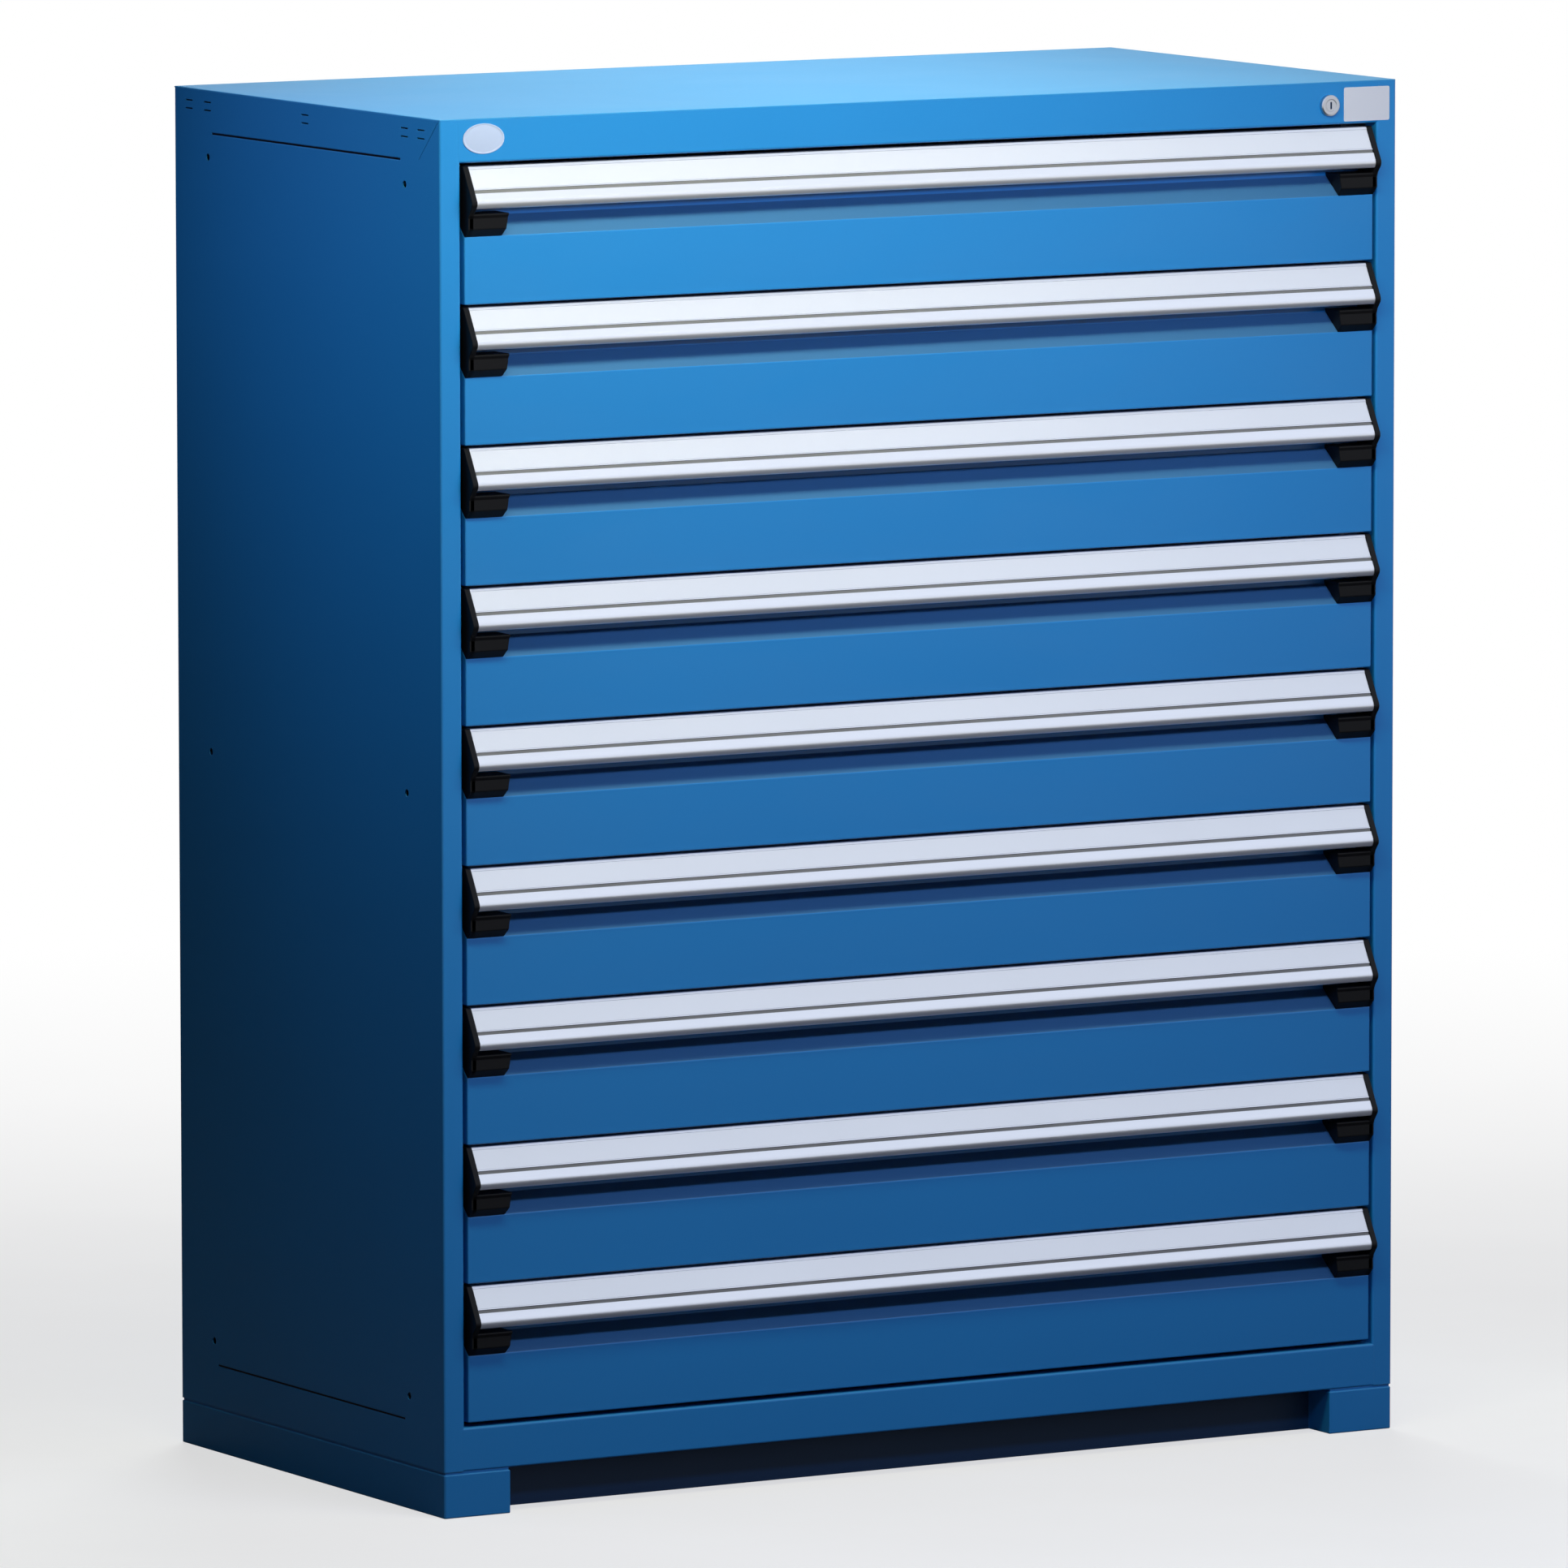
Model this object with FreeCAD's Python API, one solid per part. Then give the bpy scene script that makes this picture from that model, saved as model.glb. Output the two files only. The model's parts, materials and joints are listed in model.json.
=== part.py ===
"""Modular drawer cabinet: a welded steel housing on a recessed base, with nine full-extension drawers.

Every drawer hangs on two telescopic slides. A fixed channel rail hooks into the uprights, a carriage runs
in it on a ball shoe, and a second channel rail on the drawer runs on the carriage's other ball shoe. One key
lock lifts a bar whose dogs rise in front of an ear on every drawer.

Frame: +X to the right, +Y to the back, +Z up, millimetres. The origin is on the floor, under the middle of
the whole cabinet with its handles. A setback is a distance behind the front plane of the housing, an inset
is a distance inwards from the outer face of a side panel, and a drop is a distance below a drawer's top edge.
"""

import FreeCAD, Part
import math
import os

from FreeCAD import Vector

# ------------------------------------------------------------------ driving dimensions, housing
housing_width = 1219.2  # over the two side panels
housing_depth = 609.6  # front plane to the back
base_height = 50.8
sill_band = 50.8  # from the base up to the lowest drawer space
header_band = 50.8  # from the highest drawer space up to the top
drawer_count = 9
drawer_pitch = 152.4  # height of one drawer space

housing_sheet = 1.5
back_sheet = 1.2
sheet_bend = 1.2  # inside radius of a folded corner
edge_round = 1.4  # rounding of the top panel's edge

stile_width = 25.4  # face of the front frame beside the drawers
frame_return = 23.7  # depth of the folded front frame and of its hidden flanges
stile_lip = 13.4
frame_lip = 8.0
rear_flange = 20.0
opening_margin = 3.0  # front opening beyond the drawer spaces, above and below

# side panel features
groove_height = 3.0
groove_depth = 0.8
groove_end_gap = 88.0  # from the front plane and from the back
gang_hole_radius = 4.0
gang_hole_margin = 74.4  # hole centre from the top and from the base
lance_length = 16.0
lance_height = 1.6
lance_drops = (13.6, 22.7)  # centre lines of the upper and lower row, below the top of the housing
lance_front_gaps = (42.0, 79.0)  # lance centres behind the front plane
lance_rear_gaps = (35.0, 78.0)  # lance centres before the back
corner_relief = 1.6  # radius of the notch in the top panel's front corners
seam_width = 0.8
seam_depth = 0.5
seam_reach = 46.0  # the mitred corner seam runs at 45 degrees to this setback
seam_start = 4.0

# ------------------------------------------------------------------ driving dimensions, base
base_sheet = 2.0
base_flange = 25.0
base_bend = 3.0
base_edge = 1.2  # chamfer of the upper and lower edge
foot_width = 82.0
toe_recess = 45.0

# ------------------------------------------------------------------ driving dimensions, uprights and slides
post_depth = 34.5  # from the side panel inwards
post_width = 40.0
post_setback = 78.8  # centre line, from the front plane and from the back
rail_sheet = 2.0
rail_width = 16.0  # web and flange together
rail_height = 38.0
rail_drop = 100.0  # centre line below the drawer's top edge
rail_front_setback = 45.0
rail_rear_gap = 24.6
tab_length = 16.0
tab_sheet = 2.0
tab_reach = 5.0
tab_clearance = 1.0
rail_stop = 2.0  # folded stop at one end of a rail
stop_gap = 3.8  # between a shoe and its stop with the drawer fully out
carriage_gap = 1.5  # between a rail's lip and the carriage bar
carriage_bar = 4.0
carriage_bar_height = 24.0
shoe_clearance = 0.3  # above and below a shoe in its rail
shoe_web_gap = 1.2
shoe_edge = 3.0  # chamfer that clears the rail's inner corners
shoe_rear_gap = 8.3  # from the fixed rail's rear end
shoe_front_gap = 15.3  # from the drawer rail's front end

# ------------------------------------------------------------------ driving dimensions, drawers
drawer_sheet = 1.2
drawer_top_gap = 0.4  # below the top of the drawer space
drawer_gap = 4.0  # between two drawer fronts
drawer_reveal = 4.7  # beside a drawer front
front_thickness = 22.5  # depth of the folded front
recess_top_drop = 1.0
recess_drop = 55.0  # the finger recess ends here and its ramp starts
ramp_drop = 76.5  # the ramp meets the front plane here
tray_top_drop = 12.0
tray_bottom_drop = 142.0
tray_rear_gap = 34.6
tray_rim = 9.0  # outward rim of the side walls
drawer_rail_front_gap = 7.5
drawer_rail_rear_gap = 5.0
kept_inside = 30.0  # length of the tray that stays in the housing when fully out

# ------------------------------------------------------------------ driving dimensions, handle and end caps
handle_wall = 2.4
handle_top_drop = 0.8
handle_top_setback = 4.1
handle_leg = 30.0  # drop of the screwed leg's lower edge
handle_slope = 0.565  # how far the face comes forward for each millimetre down
nose_drop = 40.3
nose_round = 6.0
lip_drop = 46.3
lip_reach = 14.5
lip_round = 3.0
lip_return = 5.0
label_top_drop = 3.6
label_bottom_drop = 24.4
label_depth = 0.6
groove_drop = 27.2
handle_groove = 1.6
handle_groove_depth = 1.0
cap_wall = 6.8  # side wall of an end cap, beside the handle
cap_margin = 1.0  # how far the end cap stands outside the handle's outline
cap_nose_round = 7.0
cap_throat_drop = 51.0
cap_throat_reach = 11.0
cap_block_drop = 56.0
cap_block_reach = 9.0
cap_block_end = 68.0
cap_foot_drop = 75.5
cap_foot_reach = 1.5
cap_block_width = 50.0
cap_block_slant = 4.0

# ------------------------------------------------------------------ driving dimensions, lock
lock_inset = 89.2
lock_drop = 26.0  # below the top of the housing
lock_face_radius = 11.75
lock_face_height = 6.0
barrel_radius = 9.5
barrel_length = 18.0  # behind the front plane
plug_radius = 6.5
plug_clearance = 0.05
plug_recess = 0.4
keyway_width = 2.2
keyway_height = 8.0
keyway_depth = 12.0
tang_size = 6.0
cam_plate = 2.5
cam_width = 13.0
cam_gap = 0.3
cam_throw = 10.0
cam_pin_radius = 2.5
slot_clearance = 0.6
bar_clearance = 0.3
bar_thickness = 3.0
bar_arm_height = 16.0
bar_arm_tail = 5.0
guide_sheet = 1.2
guide_height = 22.0
guide_clearance = 0.4
guide_boundaries = (1, 5, 8)  # a guide stands beside the gap below these drawers
dog_sheet = 2.5
dog_height = 12.0
dog_reach = 51.0  # inset of the dog's inner end
ear_sheet = 2.0
ear_gap = 2.0  # between a dog and the ear that it blocks
ear_height = 12.0
ear_drop = 62.0  # centre line
ear_overlap = 8.0  # how far dog and ear cover each other sideways
ear_leg = 20.0

# ------------------------------------------------------------------ sizes that follow
cabinet_height = base_height + sill_band + drawer_count * drawer_pitch + header_band
drawer_spaces_top = cabinet_height - header_band
opening_top = drawer_spaces_top + opening_margin
opening_bottom = base_height + sill_band - opening_margin
drawer_height = drawer_pitch - drawer_gap
front_inset = stile_width + drawer_reveal
panel_inset = housing_sheet + sheet_bend  # clear of the folds inside the side panels
recess_depth = front_thickness - drawer_sheet

rail_outer_inset = housing_sheet + post_depth
bar_outer_inset = rail_outer_inset + rail_width + carriage_gap
bar_inner_inset = bar_outer_inset + carriage_bar
drawer_rail_inset = bar_inner_inset + carriage_gap
tray_inset = drawer_rail_inset + rail_width
tray_rear_setback = housing_depth - tray_rear_gap
rail_rear_setback = housing_depth - rail_rear_gap
drawer_rail_front = front_thickness + drawer_rail_front_gap
drawer_rail_rear = tray_rear_setback - drawer_rail_rear_gap

drawer_travel = tray_rear_setback - kept_inside
carriage_travel = drawer_travel / 2
outer_shoe = (
    rail_front_setback + rail_stop + stop_gap + carriage_travel,
    rail_rear_setback - shoe_rear_gap,
)
inner_shoe = (
    drawer_rail_front + shoe_front_gap,
    drawer_rail_rear - rail_stop - stop_gap - carriage_travel,
)

nose_reach = handle_slope * (nose_drop - handle_top_drop) - handle_top_setback
cap_shift = cap_margin * math.hypot(1.0, handle_slope)  # sideways shift of the sloped face
cap_nose_drop = nose_drop + cap_margin / 2
cap_nose_reach = nose_reach + cap_shift + handle_slope * (cap_nose_drop - nose_drop)

bar_front_setback = frame_return + bar_clearance
bar_back_setback = bar_front_setback + bar_thickness
dog_back_setback = bar_back_setback + dog_sheet
bar_outer = stile_width - stile_lip + guide_sheet + guide_clearance
bar_inner = stile_width - guide_sheet - guide_clearance
bar_lift = cam_throw * math.sqrt(2.0)  # the cam turns from 45 degrees below level to 45 above
dog_drop = ear_drop + bar_lift

UP = Vector(0, 0, 1)
RIGHT = Vector(1, 0, 0)
BACK = Vector(0, 1, 0)


# ------------------------------------------------------------------ outlines and solids
def flat(point):
    """A point of an outline as a vector, and the radius that rounds its corner."""
    a, b, *radius = point
    return Vector(a, b, 0), (radius[0] if radius else 0.0)


def corner_arc(before, corner, after, radius):
    """Start, middle, end and centre of the arc that rounds one corner of an outline."""
    to_before = (before - corner).normalize()
    to_after = (after - corner).normalize()
    half = to_before.getAngle(to_after) / 2
    start = corner + to_before * (radius / math.tan(half))
    end = corner + to_after * (radius / math.tan(half))
    inwards = (to_before + to_after).normalize()
    centre = corner + inwards * (radius / math.sin(half))
    return start, centre - inwards * radius, end, centre


def outline_wire(points, lift):
    """A closed outline of straight edges and corner arcs, carried into space by lift."""
    corners = [flat(point) for point in points]
    edges = []
    stretches = []
    for i, (corner, radius) in enumerate(corners):
        before = corners[i - 1][0]
        after = corners[(i + 1) % len(corners)][0]
        if radius:
            start, middle, end, _ = corner_arc(before, corner, after, radius)
            edges.append(Part.Arc(lift(start), lift(middle), lift(end)).toShape())
            stretches.append((start, end))
        else:
            stretches.append((corner, corner))
    for i, (_, leaves) in enumerate(stretches):
        arrives = stretches[(i + 1) % len(stretches)][0]
        if leaves.distanceToPoint(arrives) > 1e-6:
            edges.append(Part.makeLine(lift(leaves), lift(arrives)))
    return Part.Wire(Part.sortEdges(edges)[0])


def prism(points, lift, along):
    """The solid that an outline sweeps along a vector."""
    return Part.Face(outline_wire(points, lift)).extrude(along)


def plan_prism(points, low, high):
    """Outline in X and Y, standing from one height to another."""
    return prism(points, lambda p: Vector(p.x, p.y, low), UP * (high - low))


def side_prism(points, left, right):
    """Outline in Y and Z, running from one X to another."""
    return prism(points, lambda p: Vector(left, p.x, p.y), RIGHT * (right - left))


def front_prism(points, near, far):
    """Outline in X and Z, running from one Y to another."""
    return prism(points, lambda p: Vector(p.x, near, p.y), BACK * (far - near))


def folded(path, thickness):
    """Outline of a folded sheet: the path is one surface, and the metal lies on its right.

    A fold has the inside radius that its point gives, and the outside radius that the thickness adds. With
    no radius it is square.
    """
    near = [flat(point)[0] for point in path]
    ways = [(b - a).normalize() for a, b in zip(near, near[1:])]
    rights = [Vector(way.y, -way.x, 0) * thickness for way in ways]
    outline, back = [], []
    for i, point in enumerate(near):
        first, last = rights[max(i - 1, 0)], rights[min(i, len(rights) - 1)]
        middle = (first + last).normalize()
        far = point + middle * (thickness / math.cos(first.getAngle(last) / 2))
        bend = flat(path[i])[1]
        near_radius = far_radius = 0.0
        if bend:
            turns_right = ways[i - 1].cross(ways[i]).z < 0
            near_radius = bend + thickness if turns_right else bend
            far_radius = bend if turns_right else bend + thickness
        outline.append((point.x, point.y, near_radius))
        back.insert(0, (far.x, far.y, far_radius))
    return outline + back


def box(x, y, z):
    """A block between two values on each axis, given in any order."""
    low = Vector(min(x), min(y), min(z))
    return Part.makeBox(max(x) - low.x, max(y) - low.y, max(z) - low.z, low)


def rod(radius, start, end):
    """A round bar between two points."""
    way = end - start
    return Part.makeCylinder(radius, way.Length, start, way)


def mirrored(shape):
    """The same piece for the other side of the cabinet."""
    return shape.mirror(Vector(0, 0, 0), RIGHT)


def group(solids):
    return Part.makeCompound(solids)


# ------------------------------------------------------------------ places
def cap_outline(drop_to_z, setback_to_y):
    """Side outline of an end cap: beside the handle it follows the sloped face and the nose."""
    top = handle_top_drop - cap_margin / 2
    top_setback = handle_top_setback - cap_shift + handle_slope * (handle_top_drop - top)
    points = [
        (recess_depth, top),
        (top_setback, top),
        (-cap_nose_reach, cap_nose_drop, cap_nose_round),
        (-cap_throat_reach, cap_throat_drop),
        (-cap_block_reach, cap_block_drop),
        (-cap_block_reach, cap_block_end),
        (-cap_foot_reach, cap_foot_drop),
        (0.0, ramp_drop),
        (recess_depth, recess_drop),
    ]
    return [(setback_to_y(s), drop_to_z(d), *r) for s, d, *r in points]


def cap_reach():
    """How far an end cap's nose stands in front of the front plane."""
    outline = [flat(p) for p in cap_outline(lambda d: -d, lambda s: s)]
    centre = corner_arc(outline[1][0], outline[2][0], outline[3][0], cap_nose_round)[3]
    return cap_nose_round - centre.x


front_plane = (cap_reach() - housing_depth) / 2


def y_at(setback):
    return front_plane + setback


def x_at(side, inset):
    """side is -1 on the left and +1 on the right."""
    return side * (housing_width / 2 - inset)


def drawer_top(number):
    """Height of a drawer's top edge; drawer 1 is the highest."""
    return drawer_spaces_top - (number - 1) * drawer_pitch - drawer_top_gap


DRAWERS = range(1, drawer_count + 1)
BOTH = (-1, 1)
back_plane = y_at(housing_depth)
lock_x = x_at(1, lock_inset)
lock_z = cabinet_height - lock_drop


# ------------------------------------------------------------------ housing
def side_panel():
    """Left side panel, folded round the front stile and the rear edge."""
    outer = x_at(-1, 0)
    path = [
        (outer + stile_width - stile_lip, y_at(frame_return)),
        (outer + stile_width, y_at(frame_return)),
        (outer + stile_width, y_at(0), sheet_bend),
        (outer, y_at(0), sheet_bend),
        (outer, back_plane, sheet_bend),
        (outer + rear_flange, back_plane),
    ]
    panel = plan_prism(folded(path, housing_sheet), base_height, cabinet_height - housing_sheet)
    skin = (outer, outer + groove_depth)
    run = (y_at(groove_end_gap), back_plane - groove_end_gap)
    half = groove_height / 2
    cuts = [box(skin, run, (z - half, z + half)) for z in (opening_top, opening_bottom)]
    for setback in (post_setback, housing_depth - post_setback):
        for z in gang_hole_heights():
            start = Vector(outer, y_at(setback), z)
            cuts.append(rod(gang_hole_radius, start, start + RIGHT * housing_sheet))
    cuts += lances(outer)
    slant = seam_width * math.sqrt(2.0)
    seam = [
        (y_at(seam_start), cabinet_height - seam_start),
        (y_at(seam_start + slant), cabinet_height - seam_start),
        (y_at(seam_reach + slant), cabinet_height - seam_reach),
        (y_at(seam_reach), cabinet_height - seam_reach),
    ]
    cuts.append(side_prism(seam, outer, outer + seam_depth))
    return panel.cut(cuts)


def lances(outer):
    """Short slots in two rows under the top edge, where the top's hidden flange hooks in."""
    rear = [housing_depth - gap for gap in lance_rear_gaps]
    through = (outer, outer + housing_sheet)
    slots = []
    for setback in [*lance_front_gaps, housing_depth / 2, *rear]:
        run = (y_at(setback - lance_length / 2), y_at(setback + lance_length / 2))
        for drop in lance_drops:
            z = cabinet_height - drop
            slots.append(box(through, run, (z - lance_height / 2, z + lance_height / 2)))
    return slots


def gang_hole_heights():
    """Heights of the holes that bolt two cabinets side by side."""
    low = base_height + gang_hole_margin
    high = cabinet_height - gang_hole_margin
    return low, (low + high) / 2, high


def lock_bar_guides():
    """Clips on the right stile's lip that the lock bar slides in."""
    inner, outer = x_at(1, stile_width), x_at(1, stile_width - stile_lip)
    lip, back = y_at(frame_return), y_at(bar_back_setback + guide_clearance + guide_sheet)
    clips = []
    for boundary in guide_boundaries:
        middle = drawer_spaces_top - boundary * drawer_pitch
        rise = (middle - guide_height / 2, middle + guide_height / 2)
        clip = box((inner, outer), (lip, back), rise)
        room = box((inner + guide_sheet, outer - guide_sheet), (lip, back - guide_sheet), rise)
        clips.append(clip.cut(room))
    return clips


def top_panel():
    """Top panel, laid over the folded side panels, with rounded edges and notched front corners."""
    sheet = box(
        (x_at(-1, 0), x_at(1, 0)), (y_at(0), back_plane), (cabinet_height - housing_sheet, cabinet_height)
    )
    rim = [e for e in sheet.Edges if all(abs(v.Z - cabinet_height) < 1e-6 for v in e.Vertexes)]
    corners = [Vector(x_at(side, 0), y_at(0), cabinet_height - housing_sheet) for side in BOTH]
    notches = [rod(corner_relief, corner, corner + UP * housing_sheet) for corner in corners]
    return sheet.makeFillet(edge_round, rim).cut(notches)


def bottom_panel():
    run = (y_at(frame_return), back_plane - housing_sheet)
    return box((x_at(-1, panel_inset), x_at(1, panel_inset)), run, (base_height, base_height + housing_sheet))


def back_panel():
    """Back panel, welded inside the rear flanges of the side panels."""
    back = back_plane - housing_sheet
    rise = (base_height + housing_sheet, cabinet_height - housing_sheet)
    return box((x_at(-1, panel_inset), x_at(1, panel_inset)), (back - back_sheet, back), rise)


def header_rail():
    """Folded rail over the drawers, between the stiles, with the hole for the lock."""
    top = cabinet_height - housing_sheet
    path = [
        (y_at(frame_return), opening_top + frame_lip),
        (y_at(frame_return), opening_top),
        (y_at(0), opening_top),
        (y_at(0), top),
        (y_at(frame_return), top),
    ]
    rail = side_prism(folded(path, housing_sheet), x_at(-1, stile_width), x_at(1, stile_width))
    hole = rod(barrel_radius, Vector(lock_x, y_at(0), lock_z), Vector(lock_x, y_at(housing_sheet), lock_z))
    return rail.cut(hole)


def sill_rail():
    """Folded rail under the drawers, between the stiles."""
    path = [
        (y_at(frame_return), base_height),
        (y_at(0), base_height),
        (y_at(0), opening_bottom),
        (y_at(frame_return), opening_bottom),
        (y_at(frame_return), opening_bottom - frame_lip),
    ]
    return side_prism(folded(path, housing_sheet), x_at(-1, stile_width), x_at(1, stile_width))


def upright(setback):
    """One left upright: a channel with a slot for the hook tab of every fixed rail."""
    near, far = y_at(setback - post_width / 2), y_at(setback + post_width / 2)
    outer, inner = x_at(-1, housing_sheet), x_at(-1, rail_outer_inset)
    path = [(outer, far), (inner, far), (inner, near), (outer, near)]
    channel = plan_prism(
        folded(path, housing_sheet), base_height + housing_sheet, cabinet_height - housing_sheet
    )
    half_run, half_rise = tab_length / 2 + tab_clearance, tab_sheet / 2 + tab_clearance
    slots = []
    for number in DRAWERS:
        z = drawer_top(number) - rail_drop
        run = (y_at(setback - half_run), y_at(setback + half_run))
        slots.append(box((inner - housing_sheet, inner), run, (z - half_rise, z + half_rise)))
    return channel.cut(slots)


def uprights():
    left = [upright(post_setback), upright(housing_depth - post_setback)]
    return group(left + [mirrored(post) for post in left])


# ------------------------------------------------------------------ base
def base_outline(inset, corner):
    """Plan of the base at an inset from its outer surface: four feet and two recessed plates."""
    half = housing_width / 2 - inset
    near, far = y_at(inset), back_plane - inset
    foot = housing_width / 2 - foot_width + inset
    front, rear = y_at(toe_recess + inset), back_plane - toe_recess - inset
    return [
        (-half, near, corner),
        (-foot, near),
        (-foot, front),
        (foot, front),
        (foot, near),
        (half, near, corner),
        (half, far, corner),
        (foot, far),
        (foot, rear),
        (-foot, rear),
        (-foot, far),
        (-half, far, corner),
    ]


def base_frame():
    """Welded base of folded channel: the housing stands on its upper flange, the lower one on the floor."""
    body = plan_prism(base_outline(0, base_bend), 0, base_height)
    rim = [e for e in body.Edges if all(abs(v.Z - e.Vertexes[0].Z) < 1e-6 for v in e.Vertexes)]
    body = body.makeChamfer(base_edge, rim)
    hollow = plan_prism(base_outline(base_sheet, 0), base_sheet, base_height - base_sheet)
    middle = plan_prism(base_outline(base_flange, 0), 0, base_height)
    return body.cut([hollow, middle])


# ------------------------------------------------------------------ slides
def channel(side, inset, opens_inwards, near, far, z):
    """Channel rail of one side, from its outermost inset, between two setbacks, round a centre height."""
    web, lips = (inset, inset + rail_width) if opens_inwards else (inset + rail_width, inset)
    inner_web = web + rail_sheet if opens_inwards else web - rail_sheet
    high, low = z + rail_height / 2, z - rail_height / 2
    run = (y_at(near), y_at(far))
    body = box((x_at(side, web), x_at(side, lips)), run, (low, high))
    room = box((x_at(side, inner_web), x_at(side, lips)), run, (low + rail_sheet, high - rail_sheet))
    return body.cut(room)


def fixed_rail(side, number):
    """Rail on the uprights: two tabs hook into their slots, and the front end is folded to a stop."""
    z = drawer_top(number) - rail_drop
    rail = channel(side, rail_outer_inset, True, rail_front_setback, rail_rear_setback, z)
    lips = rail_outer_inset + rail_width
    stop = box(
        (x_at(side, rail_outer_inset), x_at(side, lips)),
        (y_at(rail_front_setback), y_at(rail_front_setback + rail_stop)),
        (z - rail_height / 2, z + rail_height / 2),
    )
    tabs = [
        box(
            (x_at(side, rail_outer_inset - tab_reach), x_at(side, rail_outer_inset)),
            (y_at(setback - tab_length / 2), y_at(setback + tab_length / 2)),
            (z - tab_sheet / 2, z + tab_sheet / 2),
        )
        for setback in (post_setback, housing_depth - post_setback)
    ]
    return rail.fuse([stop] + tabs).removeSplitter()


def fixed_rails():
    return group([fixed_rail(side, number) for number in DRAWERS for side in BOTH])


def shoe(side, start, end, run, z):
    """Ball shoe with its races inside: a chamfered runner between two insets and two setbacks."""
    half = rail_height / 2 - rail_sheet - shoe_clearance
    corner = half - shoe_edge
    edge = end - math.copysign(shoe_edge, end - start)
    outline = [
        (x_at(side, start), z - half),
        (x_at(side, edge), z - half),
        (x_at(side, end), z - corner),
        (x_at(side, end), z + corner),
        (x_at(side, edge), z + half),
        (x_at(side, start), z + half),
    ]
    return front_prism(outline, y_at(run[0]), y_at(run[1]))


def carriage(side, number):
    """Carriage: a bar with its rear shoe in the fixed rail and its front shoe in the drawer's rail."""
    z = drawer_top(number) - rail_drop
    half = carriage_bar_height / 2
    bar = box(
        (x_at(side, bar_outer_inset), x_at(side, bar_inner_inset)),
        (y_at(inner_shoe[0]), y_at(outer_shoe[1])),
        (z - half, z + half),
    )
    outer_end = rail_outer_inset + rail_sheet + shoe_web_gap
    inner_end = drawer_rail_inset + rail_width - rail_sheet - shoe_web_gap
    shoes = [
        shoe(side, bar_outer_inset, outer_end, outer_shoe, z),
        shoe(side, bar_inner_inset, inner_end, inner_shoe, z),
    ]
    return bar.fuse(shoes).removeSplitter()


def carriages(number):
    return group([carriage(side, number) for side in BOTH])


# ------------------------------------------------------------------ drawers
def drawer_tray(number):
    """Welded tray with the drawer rails on its sides and the lock's ear on its right side."""
    top, bottom = (drawer_top(number) - drop for drop in (tray_top_drop, tray_bottom_drop))
    wall, floor = tray_inset + drawer_sheet, bottom + drawer_sheet
    rim = tray_inset - tray_rim
    path = [
        (x_at(-1, rim), top),
        (x_at(-1, wall), top),
        (x_at(-1, wall), floor),
        (x_at(1, wall), floor),
        (x_at(1, wall), top),
        (x_at(1, rim), top),
    ]
    near, far = y_at(front_thickness), y_at(tray_rear_setback)
    pan = front_prism(folded(path, drawer_sheet), near, far)
    across = (x_at(-1, tray_inset), x_at(1, tray_inset))
    front_wall = box(across, (near, near + drawer_sheet), (bottom, top))
    rear_wall = box(across, (far - drawer_sheet, far), (bottom, top))
    pan = pan.fuse([front_wall, rear_wall]).removeSplitter()
    rails = [drawer_rail(side, number) for side in BOTH]
    return group([pan] + rails + [lock_ear(number)])


def drawer_rail(side, number):
    """Rail on the tray's side wall, with its rear end folded to a stop."""
    z = drawer_top(number) - rail_drop
    rail = channel(side, drawer_rail_inset, False, drawer_rail_front, drawer_rail_rear, z)
    stop = box(
        (x_at(side, drawer_rail_inset), x_at(side, tray_inset)),
        (y_at(drawer_rail_rear - rail_stop), y_at(drawer_rail_rear)),
        (z - rail_height / 2, z + rail_height / 2),
    )
    return rail.fuse(stop).removeSplitter()


def lock_ear(number):
    """Angle on the tray's right wall that the lock's dog stands in front of."""
    z = drawer_top(number) - ear_drop
    near = dog_back_setback + ear_gap
    tip, wall = x_at(1, dog_reach - ear_overlap), x_at(1, tray_inset)
    outline = [
        (tip, y_at(near)),
        (wall, y_at(near)),
        (wall, y_at(near + ear_leg)),
        (wall + ear_sheet, y_at(near + ear_leg)),
        (wall + ear_sheet, y_at(near + ear_sheet)),
        (tip, y_at(near + ear_sheet)),
    ]
    return plan_prism(outline, z - ear_height / 2, z + ear_height / 2)


def drawer_front(number):
    """Folded front: a deep finger recess behind the handle, a ramp, and the flush lower face."""
    top = drawer_top(number)
    path = [
        (y_at(front_thickness), top - drawer_height),
        (y_at(0), top - drawer_height),
        (y_at(0), top - ramp_drop),
        (y_at(recess_depth), top - recess_drop),
        (y_at(recess_depth), top - recess_top_drop),
    ]
    left, right = x_at(-1, front_inset), x_at(1, front_inset)
    face = side_prism(folded(path, drawer_sheet), left, right)
    return_outline = [
        (y_at(0), top - drawer_height),
        (y_at(0), top - ramp_drop),
        (y_at(recess_depth), top - recess_drop),
        (y_at(front_thickness), top - recess_drop),
        (y_at(front_thickness), top - drawer_height),
    ]
    ends = [side_prism(return_outline, x, x + drawer_sheet) for x in (left, right - drawer_sheet)]
    return face.fuse(ends).removeSplitter()


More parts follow.
